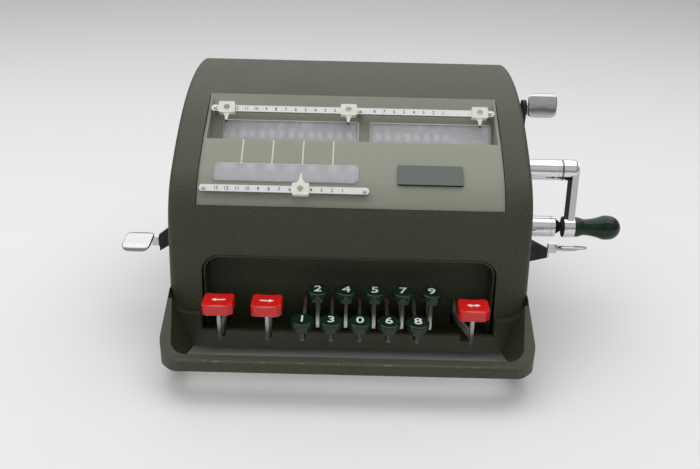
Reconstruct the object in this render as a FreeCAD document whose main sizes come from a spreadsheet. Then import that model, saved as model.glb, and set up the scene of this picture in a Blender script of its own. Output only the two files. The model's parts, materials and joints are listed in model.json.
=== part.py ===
"""Pinwheel calculator with a ten-key keyboard, as a parametric assembly.

Frame: +X to the crank side, +Y to the back, +Z up. The origin is on the table under the
machine, in its middle plane. Every size is a cell of the sheet "Sizes", in millimetres and degrees.
"""
import FreeCAD, Part
import math
import os
import re

import Sketcher
from FreeCAD import Placement, Rotation, Vector

# Each entry: name of the size, value, what it measures.
SIZES = [
    # casing profile, seen from the side: headings are in degrees from +Y towards +Z
    ("body_width", 236, "casing, outside to outside"),
    ("cover_wall", 2, "sheet thickness of the casing"),
    ("cover_rim_z", 33, "lower edge of the casing at front and back"),
    ("cover_corner", 15, "radius from that edge up to the lower edge of the sides"),
    ("cover_front_y", -71.7, "front of the casing at its lower edge"),
    ("front_heading", 81, "lean of the front wall"),
    ("front_length", 55.9, "straight part of the front wall"),
    ("brow_radius", 52, "first bend, over the keyboard"),
    ("brow_heading", 36, "slope where the first bend ends"),
    ("slope_radius", 290, "long gentle slope"),
    ("slope_heading", 28, "slope where it ends"),
    ("crown_radius", 177, "top of the casing"),
    ("crown_heading", -6, "slope at the back of the top"),
    ("back_radius", 22, "bend from the top to the back"),
    ("cover_edge", 4, "rounding between the sides and the profile"),
    ("seam", 0.3, "gap between the casing and what it meets"),
    # base casting
    ("foot_height", 8, "table to the underside of the base"),
    ("base_wall", 3, "thickness of the base walls"),
    ("bar_front_y", -122, "front of the carrying bar"),
    ("bar_depth", 8, "carrying bar, front to back"),
    ("bar_low_z", 18, "underside of the carrying bar"),
    ("bar_top_z", 26.8, "top of the carrying bar"),
    ("bar_corner", 20, "plan radius at the ends of the bar"),
    ("bar_round", 3, "rounding of the carrying bar"),
    ("arm_start_y", -69.3, "back end of the sloping arm top, at the lower edge of the casing sides"),
    ("arm_end_y", -104, "front end of the sloping arm top"),
    ("arm_end_z", 32, "height of the arm top there"),
    ("grip_low_margin", 15, "grip opening to the outside of the arms, below"),
    ("grip_high_margin", 7, "grip opening to the outside of the arms, at the arm top"),
    ("grip_corner", 8, "corner radius of the grip opening"),
    ("cheek_width", 21, "front cheeks, from the outside of the casing"),
    ("cheek_back_y", -68, "back of the front cheeks"),
    ("lip_front_y", -76, "front of the lip wall"),
    ("lip_top_z", 20.6, "top of the lip wall"),
    ("notch_z", 16.5, "bottom of the notches in the lip"),
    ("base_rear_corner", 4, "plan radius of the rear corners"),
    ("plate_thick", 1.5, "bottom plate"),
    ("foot_radius", 9, "rubber foot"),
    ("foot_margin", 20, "middle of the feet to the outside of the casing"),
    ("foot_front_y", -54, "front feet"),
    ("foot_back_y", 94, "back feet"),
    ("foot_screw", 2, "radius of the foot screws"),
    ("cover_screw_z", 58, "casing screws, over the table"),
    ("cover_screw_front_y", -50, "front casing screws"),
    ("cover_screw_back_y", 92, "back casing screws"),
    # keyboard
    ("mouth_margin", 21.5, "keyboard opening to the outside of the casing"),
    ("mouth_top_z", 71.6, "top of the keyboard opening"),
    ("mouth_corner", 11.5, "corner radius of the keyboard opening"),
    ("tray_y", -47, "face of the slotted keyboard panel"),
    ("tray_front_y", -65, "front edge of its flange"),
    ("tray_sheet", 1.2, "thickness of the keyboard panel"),
    ("tray_low_z", 9.8, "lower edge of the keyboard panel"),
    ("slot_low_z", 11.5, "bottom of the key slots"),
    ("slot_top_z", 33.5, "top of the key slots"),
    ("slot_play", 0.4, "slot to lever, each side"),
    ("pivot_y", 25, "key pivot axle"),
    ("pivot_z", 27, "key pivot axle"),
    ("pivot_radius", 2.5, "key pivot axle"),
    ("running_fit", 0.05, "radial play of a turning or sliding fit"),
    ("lever_thick", 2.2, "key lever plate"),
    ("lever_low_z", 22.5, "lower edge of the key levers"),
    ("lever_height", 9, "height of the key levers at the slots"),
    ("lever_nose", 4.5, "height of the key levers in front of the slots"),
    ("lever_tail_y", 41, "back end of the key levers"),
    ("stem_depth", 4, "upright stem, front to back"),
    ("key_pitch", 18.7, "digit keys, side to side"),
    ("front_row_x", 7.8, "middle key of the front row"),
    ("front_row_y", -87, "front row"),
    ("front_row_z", 37.7, "top of the front row"),
    ("back_row_y", -70, "back row"),
    ("back_row_z", 50.6, "top of the back row"),
    ("cap_radius", 7.5, "digit key cap"),
    ("cap_height", 7.5, "digit key cap"),
    ("cap_edge", 0.7, "rounding of the rim of the cap"),
    ("cap_dome", 0.4, "rise of its top"),
    ("cap_foot", 5.4, "flats of the cap at its foot, out from its middle"),
    ("cap_flare", 7.95, "the same flats carried on to the height of the top"),
    ("cap_facets", 6, "flats round the cap"),
    ("red_z", 51, "top of the function keys"),
    ("red_width", 19.4, "function key, side to side"),
    ("red_depth", 16.5, "function key, front to back"),
    ("red_height", 7.4, "function key"),
    ("red_dish", 45, "radius of the dished top of a function key"),
    ("red_dip", 0.9, "depth of the dish"),
    ("red_corner", 3, "corner radius of a function key"),
    ("red_bow", 36, "radius to which the front of a function key swells"),
    ("red_bevel_y", 0.4, "top of its front bevel, behind the front corners"),
    ("red_bevel_z", 2.6, "height of the bevel over a run of red_bevel_run"),
    ("red_bevel_run", 1.8, "run of the bevel, front to back"),
    ("left_shift_gap", 14, "left shift key to the left cheek"),
    ("shift_pitch", 31, "left shift key to right shift key"),
    ("tabulator_gap", 17, "tabulator key to the right cheek"),
    ("tabulator_jog", 7, "slot of the tabulator lever to its key"),
    ("spring_y", 38, "key return springs"),
    ("spring_radius", 2.2, "key return spring"),
    # window panel, let into the casing
    ("panel_margin", 18.5, "window panel to the outside of the casing"),
    ("panel_sheet", 2, "thickness of the window panel"),
    ("panel_inset", 1.3, "panel face below the casing surface"),
    ("panel_low_heading", 63.3, "heading of the casing at the lower edge of the panel"),
    ("step_y", -19.5, "edge where the panel steps down"),
    ("ledge_y", -4, "foot of the recess"),
    ("ledge_z", 127.5, "foot of the recess"),
    ("recess_slope", 51.4, "slope of the recess floor"),
    ("recess_length", 36.5, "recess floor, foot to top edge"),
    # windows; places on the recess floor are measured up the slope from its foot
    ("window_thick", 1.6, "window plates"),
    ("window_bevel", 0.8, "bevel round a window plate"),
    ("window_rim", 2.4, "window plate over the edge of its opening"),
    ("number_low", 1.5, "lower edge of the number windows, up the slope"),
    ("number_high", 17, "upper edge of the number windows, up the slope"),
    ("result_margin", 9.5, "result window to the left edge of the panel"),
    ("result_right", 4.6, "result window"),
    ("counter_left", 11.5, "counter window"),
    ("counter_margin", 3.5, "counter window to the right edge of the panel"),
    ("setting_right", 4.5, "setting window, right end"),
    ("setting_width", 13.5, "setting window, across the slope"),
    ("setting_corner", 3, "corners of the setting window"),
    ("low_face_y", -41.9, "middle of the setting window and the badge"),
    ("low_face_sink", 0.5, "their seats below the crest of the curved panel"),
    ("badge_left", 30, "badge plate"),
    ("badge_right", 72.7, "badge plate"),
    ("badge_width", 14.7, "badge plate, across the slope"),
    ("badge_thick", 1.7, "badge plate"),
    # pointer rails
    ("rail_width", 4.5, "pointer rail"),
    ("rail_thick", 2, "pointer rail"),
    ("upper_rail_up", 22.6, "upper rail, up the slope from the foot of the recess"),
    ("upper_rail_lift", 5.3, "underside of the upper rail over the recess floor"),
    ("upper_rail_margin", 2.1, "ends of the upper rail to the edges of the panel"),
    ("lower_rail_angle", 51.5, "slope of the lower rail"),
    ("lower_rail_lift", 2, "underside of the lower rail over the panel"),
    ("lower_rail_margin", 1.9, "lower rail to the left edge of the panel"),
    ("lower_rail_right", 11.7, "lower rail"),
    ("post_radius", 1.9, "rail posts"),
    ("post_inset", 3, "end posts from the ends of a rail"),
    ("middle_post_x", 5, "middle post of the upper rail"),
    ("rail_screw", 1.1, "shank radius of the rail screws"),
    ("rail_head", 1.5, "head radius of the rail screws"),
    ("pointer_width", 11, "pointer, along its rail"),
    ("pointer_depth", 8, "pointer, across its rail"),
    ("pointer_thick", 4.5, "pointer"),
    ("pointer_play", 0.15, "pointer to rail"),
    ("spike_length", 6.5, "tip of the pointer"),
    ("spike_thick", 1.6, "tip of the pointer"),
    ("pointer_hole", 2.1, "round hole over the numbers of the rail"),
    ("spike_root", 3.2, "half width of the spike where it leaves the pointer"),
    ("spike_tip", 0.4, "half width of its end"),
    # crank
    ("crank_y", 7.1, "crank shaft"),
    ("crank_z", 109.1, "crank shaft"),
    ("shaft_radius", 4, "crank shaft"),
    ("bush_radius", 7.4, "crank bush and crank rest"),
    ("bush_reach", 31.1, "crank bush, out of the casing"),
    ("hub_gap", 0.4, "bush to crank hub"),
    ("hub_length", 11.5, "crank hub"),
    ("hub_radius", 7.5, "crank hub and handle boss"),
    ("hub_round", 3.5, "outer corner of the crank hub"),
    ("ring_inset", 3, "turned ring to the end of the bush and of the rest"),
    ("ring_cut", 0.5, "depth and width of that ring"),
    ("rest_gap", 0.6, "crank rest to the cone of the boss"),
    ("crank_throw", 40.3, "shaft to handle pin"),
    ("crank_lean", 25, "crank arm forward of straight down, at rest"),
    ("arm_width", 12.6, "crank arm"),
    ("arm_thick", 4.5, "crank arm"),
    ("arm_offset", 4, "lower end of the arm is this much nearer the body"),
    ("arm_foot_step", 1.5, "handle boss beyond the outer face of the arm"),
    ("boss_length", 7.5, "handle boss"),
    ("boss_tip", 1.3, "cone on the inner side of the handle boss"),
    ("rest_length", 26.5, "crank rest tube, from the casing"),
    ("rest_tip", 3, "end radius of that cone"),
    ("handle_length", 32.7, "handle"),
    ("handle_collar", 7.05, "handle radius at its inner end"),
    ("handle_neck", 5.7, "handle radius at its neck"),
    ("handle_bulb", 8.85, "handle radius at its bulb"),
    ("handle_gap", 0.4, "boss to handle"),
    ("pin_radius", 2.6, "handle pin"),
    # clearing levers
    ("lever_shaft", 4, "radius of the lever shafts"),
    ("lever_plate", 3, "thickness of the lever arms"),
    ("lever_arm_half", 5, "half width of the lever arms"),
    ("tab_sheet", 1.6, "finger tabs"),
    ("left_tab_lip", 1.4, "rolled edge of the left tab"),
    ("high_tab_lip", 2.4, "rolled edge of the upper right tab"),
    ("low_tab_lip", 1.4, "rolled edge of the lower right tab"),
    ("left_neck_behind", 4, "left lever, neck behind the middle of its tab"),
    ("high_neck_behind", -1.5, "upper right lever, neck behind the middle of its tab"),
    ("low_neck_behind", 4, "lower right lever, neck behind the middle of its tab"),
    ("neck_gap", 4, "neck to the tab, joined by a bridge"),
    ("bridge_low", -5.5, "foot of that bridge over the middle of the tab"),
    ("bridge_high", 1, "top of that bridge over the middle of the tab"),
    ("left_pivot_y", 10, "left lever"),
    ("left_pivot_z", 105, "left lever"),
    ("left_tab_y", -26, "left lever"),
    ("left_tab_z", 61.5, "left lever"),
    ("left_arm_gap", 3, "casing to the left lever arm"),
    ("left_tab_start", 20.5, "casing to the inner end of the left tab"),
    ("left_tab_reach", 39.8, "casing to the outer end of the left tab"),
    ("left_tab_width", 20, "left tab, across"),
    ("left_neck_inner_top", 13, "left lever, inner top corner of its neck over the tab"),
    ("left_neck_outer_top", 2.5, "left lever, outer top corner of its neck over the tab"),
    ("left_neck_outer_foot", -9.5, "left lever, outer lower corner of its neck over the tab"),
    ("left_neck_inner_foot", -1, "left lever, inner lower corner of its neck over the tab"),
    ("high_pivot_y", 34, "upper right lever"),
    ("high_pivot_z", 104, "upper right lever"),
    ("high_tab_y", 30.7, "upper right lever"),
    ("high_tab_z", 148, "upper right lever"),
    ("high_arm_gap", 3, "casing to the upper right lever arm"),
    ("high_tab_start", 8, "casing to the inner end of the upper right tab"),
    ("high_tab_reach", 28.2, "casing to the outer end of the upper right tab"),
    ("high_tab_width", 15, "upper right tab, across"),
    ("high_neck_inner_top", 2, "upper right lever, inner top corner of its neck over the tab"),
    ("high_neck_outer_top", 5, "upper right lever, outer top corner of its neck over the tab"),
    ("high_neck_outer_foot", -7, "upper right lever, outer lower corner of its neck over the tab"),
    ("high_neck_inner_foot", -7, "upper right lever, inner lower corner of its neck over the tab"),
    ("low_pivot_y", 1, "lower right lever"),
    ("low_pivot_z", 54.5, "lower right lever"),
    ("low_tab_y", -43.6, "lower right lever"),
    ("low_tab_z", 71.5, "lower right lever"),
    ("low_arm_gap", 3, "casing to the lower right lever arm"),
    ("low_tab_start", 22, "casing to the inner end of the lower right tab"),
    ("low_tab_reach", 40.8, "casing to the outer end of the lower right tab"),
    ("low_tab_width", 16, "lower right tab, across"),
    ("low_neck_inner_top", 4.5, "lower right lever, inner top corner of its neck over the tab"),
    ("low_neck_outer_top", -3.5, "lower right lever, outer top corner of its neck over the tab"),
    ("low_neck_outer_foot", -9, "lower right lever, outer lower corner of its neck over the tab"),
    ("low_neck_inner_foot", -13, "lower right lever, inner lower corner of its neck over the tab"),
    ("left_tab_lean", 188, "slope of the left tab"),
    ("high_tab_lean", 75, "slope of the upper right tab"),
    ("low_tab_lean", -25, "slope of the lower right tab"),
    # mechanism
    ("frame_inset", 14, "inner faces of the side plates to the outside of the casing"),
    ("frame_thick", 2, "side plates"),
    ("frame_gap", 5, "side plates inside the casing surface"),
    ("frame_low_z", 9.5, "lower edge of the side plates"),
    ("frame_front_y", -44, "front edge of the side plates"),
    ("rotor_y", -21.6, "rotor shaft"),
    ("rotor_shaft_radius", 5, "rotor shaft"),
    ("gear_teeth", 30, "drive gear and rotor gear"),
    ("gear_width", 4, "face width of the gears"),
    ("gear_inset", 14, "inner faces of the gears to the right side plate"),
    ("gear_backlash", 0.12, "thinning of the teeth, each side"),
    ("digit_pitch", 6.77, "numeral places, side to side"),
    ("result_places", 13, "result wheels and setting discs"),
    ("counter_places", 8, "counter wheels"),
    ("result_first_x", -1.9, "last place of the result"),
    ("counter_first_x", 65.4, "last place of the counter"),
    ("wheel_radius", 9.5, "numeral wheels"),
    ("wheel_width", 5, "numeral wheels"),
    ("wheel_axis_up", 8.7, "numeral axle, up the slope from the foot of the recess"),
    ("wheel_axis_down", 12.6, "numeral axle below the face of the recess floor"),
    ("axle_radius", 1.5, "numeral axle"),
    ("disc_radius", 22.5, "setting discs"),
    ("disc_width", 4.6, "setting discs"),
    ("tie_radius", 3, "tie rods"),
    ("tie_back_y", 60, "back tie rod"),
    ("tie_back_z", 120, "back tie rod"),
    ("tie_low_y", 95, "low tie rod"),
    ("tie_low_z", 30, "low tie rod"),
    ("tie_front_y", -20, "front tie rod"),
    ("tie_front_z", 60, "front tie rod"),
]

# Places and widths that follow from the sizes, each used by its name like a size.
DERIVED = {
    "body_half": "body_width / 2",
    "cover_side_z": "cover_rim_z + cover_corner",
    "base_inner": "body_half - base_wall",
    "bar_back_y": "bar_front_y + bar_depth",
    "grip_low_half": "body_half - grip_low_margin",
    "grip_high_half": "body_half - grip_high_margin",
    "cheek_half": "body_half - cheek_width",
    "foot_x": "body_half - foot_margin",
    "floor_z": "foot_height + plate_thick",
    "mouth_half": "body_half - mouth_margin",
    "left_shift_x": "left_shift_gap - cheek_half",
    "right_shift_x": "left_shift_x + shift_pitch",
    "tabulator_x": "cheek_half - tabulator_gap",
    "tabulator_slot_x": "tabulator_x - tabulator_jog",
    "panel_half": "body_half - panel_margin",
    "result_left": "result_margin - panel_half",
    "counter_right": "panel_half - counter_margin",
    "upper_rail_half": "panel_half - upper_rail_margin",
    "lower_rail_left": "lower_rail_margin - panel_half",
    "frame_x": "body_half - frame_inset",
    "frame_end_x": "frame_x + frame_thick",
    "gear_x": "frame_x - gear_inset",
    "bush_end_x": "body_half + bush_reach",
    "hub_x": "bush_end_x + hub_gap",
    "hub_end_x": "hub_x + hub_length",
    "pin_y": "crank_y - crank_throw * sin(crank_lean)",
    "pin_z": "crank_z - crank_throw * cos(crank_lean)",
    "boss_end_x": "hub_end_x - arm_offset + arm_foot_step",
    "boss_x": "boss_end_x - boss_length",
    "rotor_z": "crank_z - sqrt(gear_teeth^2 - (crank_y - rotor_y)^2)",
    "handle_x": "boss_end_x + handle_gap",
    "middle_x": "(handle_x + handle_length - left_tab_end) / 2",
    "left_arm_x": "body_half + left_arm_gap",
    "left_tab_end": "body_half + left_tab_reach",
    "high_arm_x": "body_half + high_arm_gap",
    "high_tab_end": "body_half + high_tab_reach",
    "low_arm_x": "body_half + low_arm_gap",
    "low_tab_end": "body_half + low_tab_reach",
}
NAMES = {name for name, _, _ in SIZES}
doc = FreeCAD.newDocument("PinwheelCalculator")
sheet = doc.addObject("Spreadsheet::Sheet", "Sizes")
finished = []


def fill_sheet():
    """Write every driving size into the sheet, with its name as the alias of its cell."""
    for row, (name, value, note) in enumerate(SIZES, start=1):
        sheet.set(f"A{row}", note)
        sheet.set(f"B{row}", str(value))
        sheet.setAlias(f"B{row}", name)
    doc.recompute()


def link(expression):
    """Turn bare names into references to the cells of the sheet."""
    def cell(match):
        name = match[0]
        if name in DERIVED:
            return f"({link(DERIVED[name])})"
        return "Sizes." + name if name in NAMES else name

    return re.sub(r"[a-z_][a-z0-9_]*", cell, str(expression))


def number(expression):
    """Value of an expression of sizes."""
    return float(sheet.evalExpression(link(expression)))


def bind(item, **expressions):
    for name, expression in expressions.items():
        item.setExpression(name, link(expression))
    return item


def place(item, x=0, y=0, z=0, turn=None):
    """Put an object at a bound place, turned by a fixed rotation."""
    item.Placement = Placement(Vector(), turn or Rotation())
    for axis, expression in zip("xyz", (x, y, z)):
        item.setExpression("Placement.Base." + axis, link(expression))
    return item


def tilt(item, angle):
    """Turn an object about the X direction by a bound angle."""
    item.Placement.Rotation = Rotation(Vector(1, 0, 0), 1)
    return bind(item, **{"Placement.Rotation.Angle": angle})


# A cylinder or cone stands on +Z; these turn it to lie along another axis.
ALONG = {
    "X": Rotation(Vector(0, 1, 0), 90),
    "Y": Rotation(Vector(1, 0, 0), -90),
    "Z": Rotation(),
}


def rod(name, radius, length, x, y, z, axis="X"):
    """Cylinder that starts at x, y, z and runs along the axis."""
    item = doc.addObject("Part::Cylinder", name)
    bind(item, Radius=radius, Height=length)
    return place(item, x, y, z, ALONG[axis])


def block(name, xs, ys, zs):
    """Box between two bounds along each axis."""
    item = doc.addObject("Part::Box", name)
    bind(item, Length=f"({xs[1]}) - ({xs[0]})", Width=f"({ys[1]}) - ({ys[0]})",
         Height=f"({zs[1]}) - ({zs[0]})")
    return place(item, xs[0], ys[0], zs[0])


def cut(name, base, *tools):
    """Base less the tools."""
    item = doc.addObject("Part::Cut", name)
    item.Base = base
    item.Tool = tools[0] if len(tools) == 1 else fuse(name + "_tools", *tools)
    return item


def fuse(name, *items):
    item = doc.addObject("Part::MultiFuse", name)
    item.Shapes = list(items)
    item.Refine = True
    return item


def common(name, *items):
    item = doc.addObject("Part::MultiCommon", name)
    item.Shapes = list(items)
    return item


def group(name, items):
    """Separate solids that share one node."""
    item = doc.addObject("Part::Compound", name)
    item.Links = list(items)
    return item


def finish(node, item):
    """Set the sub-part in the frame of the whole and name it; the name is also that of its file.

    Sizes are measured from the casing's middle plane, and the frame starts in the middle of
    the table area that the whole machine covers.
    """
    whole = doc.addObject("Part::Compound", node + "_in_frame")
    whole.Links = [item]
    place(whole, "-middle_x", f"-(bar_front_y + {BACK_Y}) / 2", 0)
    whole.Label = node
    finished.append(whole)
    return item


def arc_between(here, there, radius):
    """Arc of at most half a turn; a positive radius turns left on the way."""
    chord = there - here
    left = Vector(-chord.y, chord.x, 0).normalize()
    rise = math.sqrt(max(radius ** 2 - (chord.Length / 2) ** 2, 0))
    centre = here + chord / 2 + left * math.copysign(rise, radius)
    first, last = (here, there) if radius > 0 else (there, here)
    angles = [math.atan2(spot.y - centre.y, spot.x - centre.x) for spot in (first, last)]
    if angles[1] < angles[0]:
        angles[1] += 2 * math.pi
    return Part.ArcOfCircle(Part.Circle(centre, Vector(0, 0, 1), abs(radius)), *angles)


def trace(sketch, corners):
    """Draw a closed outline in a sketch and bind it to the sizes.

    A corner is (x, y), or (x, y, radius) where an arc of that radius leads to the next corner.
    """
    spots = [Vector(number(corner[0]), number(corner[1]), 0) for corner in corners]
    edges = []
    for index, corner in enumerate(corners):
        here, there = spots[index], spots[(index + 1) % len(spots)]
        if len(corner) == 2:
            edges.append((sketch.addGeometry(Part.LineSegment(here, there)), 1, 2))
        else:
            radius = number(corner[2])
            edge = sketch.addGeometry(arc_between(here, there, radius))
            edges.append((edge, 1, 2) if radius > 0 else (edge, 2, 1))
            pin = sketch.addConstraint(Sketcher.Constraint("Radius", edge, abs(radius)))
            sketch.setExpression(f"Constraints[{pin}]", link(f"abs({corner[2]})"))
    for index, (edge, start, end) in enumerate(edges):
        following, its_start, _ = edges[(index + 1) % len(edges)]
        sketch.addConstraint(Sketcher.Constraint("Coincident", edge, end, following, its_start))
        for kind, value, expression in (("DistanceX", spots[index].x, corners[index][0]),
                                        ("DistanceY", spots[index].y, corners[index][1])):
            pin = sketch.addConstraint(Sketcher.Constraint(kind, -1, 1, edge, start, value))
            sketch.setExpression(f"Constraints[{pin}]", link(expression))


def sketch_in(body, plane, corners):
    """Sketch on one of the body's own origin planes."""
    sketch = body.newObject("Sketcher::SketchObject", body.Name + "_outline")
    origin = next(item for item in body.Origin.OriginFeatures if item.Role == plane + "_Plane")
    sketch.AttachmentSupport = [(origin, "")]
    sketch.MapMode = "FlatFace"
    trace(sketch, corners)
    return sketch


def prism(name, plane, corners, start, depth):
    """Outline in the XY, XZ or YZ plane, padded from start by depth along the third axis."""
    body = doc.addObject("PartDesign::Body", name)
    sketch = sketch_in(body, plane, corners)
    # The XZ plane faces -Y, so its pad starts at the far end and comes forward.
    offset = f"-(({start}) + ({depth}))" if plane == "XZ" else start
    bind(sketch, **{"AttachmentOffset.Base.z": offset})
    pad = body.newObject("PartDesign::Pad", name + "_pad")
    pad.Profile = sketch
    bind(pad, Length=depth)
    sketch.Visibility = False
    return body


def turned(name, corners, x=0, y=0, z=0, axis="X"):
    """Outline of (distance along the axis, radius), revolved about the axis."""
    body = doc.addObject("PartDesign::Body", name)
    if axis == "X":
        sketch = sketch_in(body, "XY", corners)
    else:
        # Swapping the two coordinates also swaps left and right turns.
        sketch = sketch_in(body, "XZ", [(corner[1], corner[0], *(f"-({radius})" for radius in corner[2:]))
                                        for corner in corners])
    turn = body.newObject("PartDesign::Revolution", name + "_turn")
    turn.Profile = sketch
    turn.ReferenceAxis = (sketch, ["H_Axis" if axis == "X" else "V_Axis"])
    turn.Angle = 360
    sketch.Visibility = False
    return place(body, x, y, z)


def rounded(x0, x1, y0, y1, radius):
    """Corners of a rectangle with rounded corners, anticlockwise."""
    return [(f"({x0}) + ({radius})", y0), (f"({x1}) - ({radius})", y0, radius),
            (x1, f"({y0}) + ({radius})"), (x1, f"({y1}) - ({radius})", radius),
            (f"({x1}) - ({radius})", y1), (f"({x0}) + ({radius})", y1, radius),
            (x0, f"({y1}) - ({radius})"), (x0, f"({y0}) + ({radius})", radius)]


def rectangle(x0, x1, y0, y1):
    return [(x0, y0), (x1, y0), (x1, y1), (x0, y1)]


def round_edges(body, radius, wanted, kind="Fillet"):
    """Round or chamfer the edges of a body that pass a test."""
    doc.recompute()
    base = body.Tip
    names = [f"Edge{index}" for index, edge in enumerate(base.Shape.Edges, start=1) if wanted(edge)]
    feature = body.newObject("PartDesign::" + kind, body.Name + "_" + kind.lower())
    feature.Base = (base, names)
    bind(feature, **{"Radius" if kind == "Fillet" else "Size": radius})
    return body


def is_level(edge, axis, value):
    """Whether both ends of an edge lie at a value along an axis."""
    return all(abs(getattr(vertex, axis) - value) < 1e-4 for vertex in edge.Vertexes)


# Casing profile ------------------------------------------------------------------------------



def bend_centre(start, heading, radius):
    """Centre of a bend that starts at a point with a heading and turns down to the back."""
    return (f"{start[0]} + {radius} * sin({heading})", f"{start[1]} - {radius} * cos({heading})")


def on_bend(centre, heading, radius):
    """Point of that bend where it has the heading."""
    return (f"{centre[0]} - ({radius}) * sin({heading})", f"{centre[1]} + ({radius}) * cos({heading})")


front_top = ("cover_front_y + front_length * cos(front_heading)",
             "cover_rim_z + front_length * sin(front_heading)")
brow = bend_centre(front_top, "front_heading", "brow_radius")
slope = bend_centre(on_bend(brow, "brow_heading", "brow_radius"), "brow_heading", "slope_radius")
crown = bend_centre(on_bend(slope, "slope_heading", "slope_radius"), "slope_heading", "crown_radius")
back = bend_centre(on_bend(crown, "crown_heading", "crown_radius"), "crown_heading", "back_radius")
BACK_Y = f"({back[0]} + back_radius)"


def casing_profile(inset, low_z):
    """Side profile of the casing, moved inwards, from the front lower corner over the top."""
    front_y = (f"cover_front_y + ({inset}) / sin(front_heading)"
               f" + (({low_z}) - cover_rim_z) / tan(front_heading)")
    return [(front_y, low_z),
            (*on_bend(brow, "front_heading", f"brow_radius - ({inset})"), f"-(brow_radius - ({inset}))"),
            (*on_bend(brow, "brow_heading", f"brow_radius - ({inset})"), f"-(slope_radius - ({inset}))"),
            (*on_bend(slope, "slope_heading", f"slope_radius - ({inset})"), f"-(crown_radius - ({inset}))"),
            (*on_bend(crown, "crown_heading", f"crown_radius - ({inset})"), f"-(back_radius - ({inset}))"),
            (*on_bend(back, -90, f"back_radius - ({inset})"),),
            (f"{BACK_Y} - ({inset})", low_z)]


def rim_line(drop):
    """Lower edge of the casing seen from the front, left to right, lowered by drop."""
    side, rim = f"cover_side_z - ({drop})", f"cover_rim_z - ({drop})"
    inner = "body_half - cover_corner"
    return [("-(body_half + 5)", side), ("-body_half", side, "cover_corner"), (f"-({inner})", rim),
            (inner, rim, "cover_corner"), ("body_half", side), ("body_half + 5", side)]


# Base ----------------------------------------------------------------------------------------



def build_base():
    plan = prism("base_plan", "XY", [
        ("-body_half + bar_corner", "bar_front_y"), ("body_half - bar_corner", "bar_front_y", "bar_corner"),
        ("body_half", "bar_front_y + bar_corner"),
        ("body_half", f"{BACK_Y} - base_rear_corner", "base_rear_corner"),
        ("body_half - base_rear_corner", BACK_Y),
        ("-body_half + base_rear_corner", BACK_Y, "base_rear_corner"),
        ("-body_half", f"{BACK_Y} - base_rear_corner"),
        ("-body_half", "bar_front_y + bar_corner", "bar_corner"),
    ], "foot_height", "cover_side_z - foot_height")
    side = prism("base_side", "YZ", [
        ("bar_front_y + bar_round", "bar_low_z"), ("bar_back_y", "bar_low_z"),
        ("lip_front_y + 1", "foot_height"), (BACK_Y, "foot_height"), (BACK_Y, "cover_side_z - seam"),
        ("arm_start_y", "cover_side_z - seam"), ("arm_end_y", "arm_end_z"),
        ("bar_back_y", "bar_top_z"), ("bar_front_y + bar_round", "bar_top_z", "bar_round"),
        ("bar_front_y", "bar_top_z - bar_round"), ("bar_front_y", "bar_low_z + bar_round", "bar_round"),
    ], "-body_half", "body_width")
    seat = prism("base_seat", "XZ", rim_line("seam") + [
        ("body_half + 5", "cover_side_z + 5"), ("-(body_half + 5)", "cover_side_z + 5")],
        "lip_front_y", f"{BACK_Y} - lip_front_y + 5")
    grip_spread = "(grip_high_half - grip_low_half) / (arm_end_z - foot_height)"
    grip_top_half = f"(grip_low_half + {grip_spread} * (cover_side_z + 2 - foot_height))"
    grip = prism("base_grip", "XZ", [
        ("-grip_low_half", "foot_height"), ("grip_low_half", "foot_height"),
        (grip_top_half, "cover_side_z + 2"), (f"-{grip_top_half}", "cover_side_z + 2")],
        "bar_back_y", "lip_front_y - bar_back_y")
    front = number("bar_back_y")
    round_edges(grip, "grip_corner", lambda edge: is_level(edge, "Y", front)
                and abs(edge.Vertexes[0].Z - edge.Vertexes[-1].Z) > 1)
    room = [
        block("base_front_room", ("-cheek_half", "cheek_half"), ("lip_front_y + base_wall", "cheek_back_y + 1"),
              (0, "cover_side_z + 5")),
        block("base_room", ("-base_inner", "base_inner"), ("cheek_back_y", f"{BACK_Y} - base_wall"),
              (0, "cover_side_z + 5")),
        block("base_lip_top", ("-cheek_half", "cheek_half"), ("lip_front_y - 1", "cheek_back_y"),
              ("lip_top_z", "cover_side_z + 5")),
    ]
    half = "(lever_thick / 2 + slot_play)"
    notches = [block(f"base_notch_{index}", (f"{left} - {half}", f"{right} + {half}"),
                     ("lip_front_y - 1", "lip_front_y + base_wall + 1"), ("notch_z", "lip_top_z + 1"))
               for index, (left, right) in enumerate(FRONT_LEVERS)]
    blank = common("base_blank", plan, side)
    finish("base_casting", cut("base_cut", blank, seat, grip, *room, *notches))


def digit_x(place_in_row, row):
    """Middle of a digit key; the back row stands half a pitch to the right of the front row."""
    return f"(front_row_x + key_pitch * {place_in_row + (0.5 if row == 'back' else 0)})"


# Which digit each place holds, as places from the middle key of the front row.
DIGIT_KEYS = {
    1: (-2, "front"), 3: (-1, "front"), 0: (0, "front"), 6: (1, "front"), 8: (2, "front"),
    2: (-2, "back"), 4: (-1, "back"), 5: (0, "back"), 7: (1, "back"), 9: (2, "back"),
}
# Left and right edge of the room that each front lever needs in the lip.
FRONT_LEVERS = [(x, x) for x in [digit_x(*spot) for spot in DIGIT_KEYS.values() if spot[1] == "front"]
                + ["left_shift_x", "right_shift_x"]] + [("tabulator_slot_x + tabulator_jog / 2", "tabulator_x")]
SLOTS = [digit_x(*spot) for spot in DIGIT_KEYS.values()]
SLOTS += ["left_shift_x", "right_shift_x", "tabulator_slot_x"]
FEET = [(f"{sign} * foot_x", y) for sign in (-1, 1) for y in ("foot_front_y", "foot_back_y")]


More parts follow.
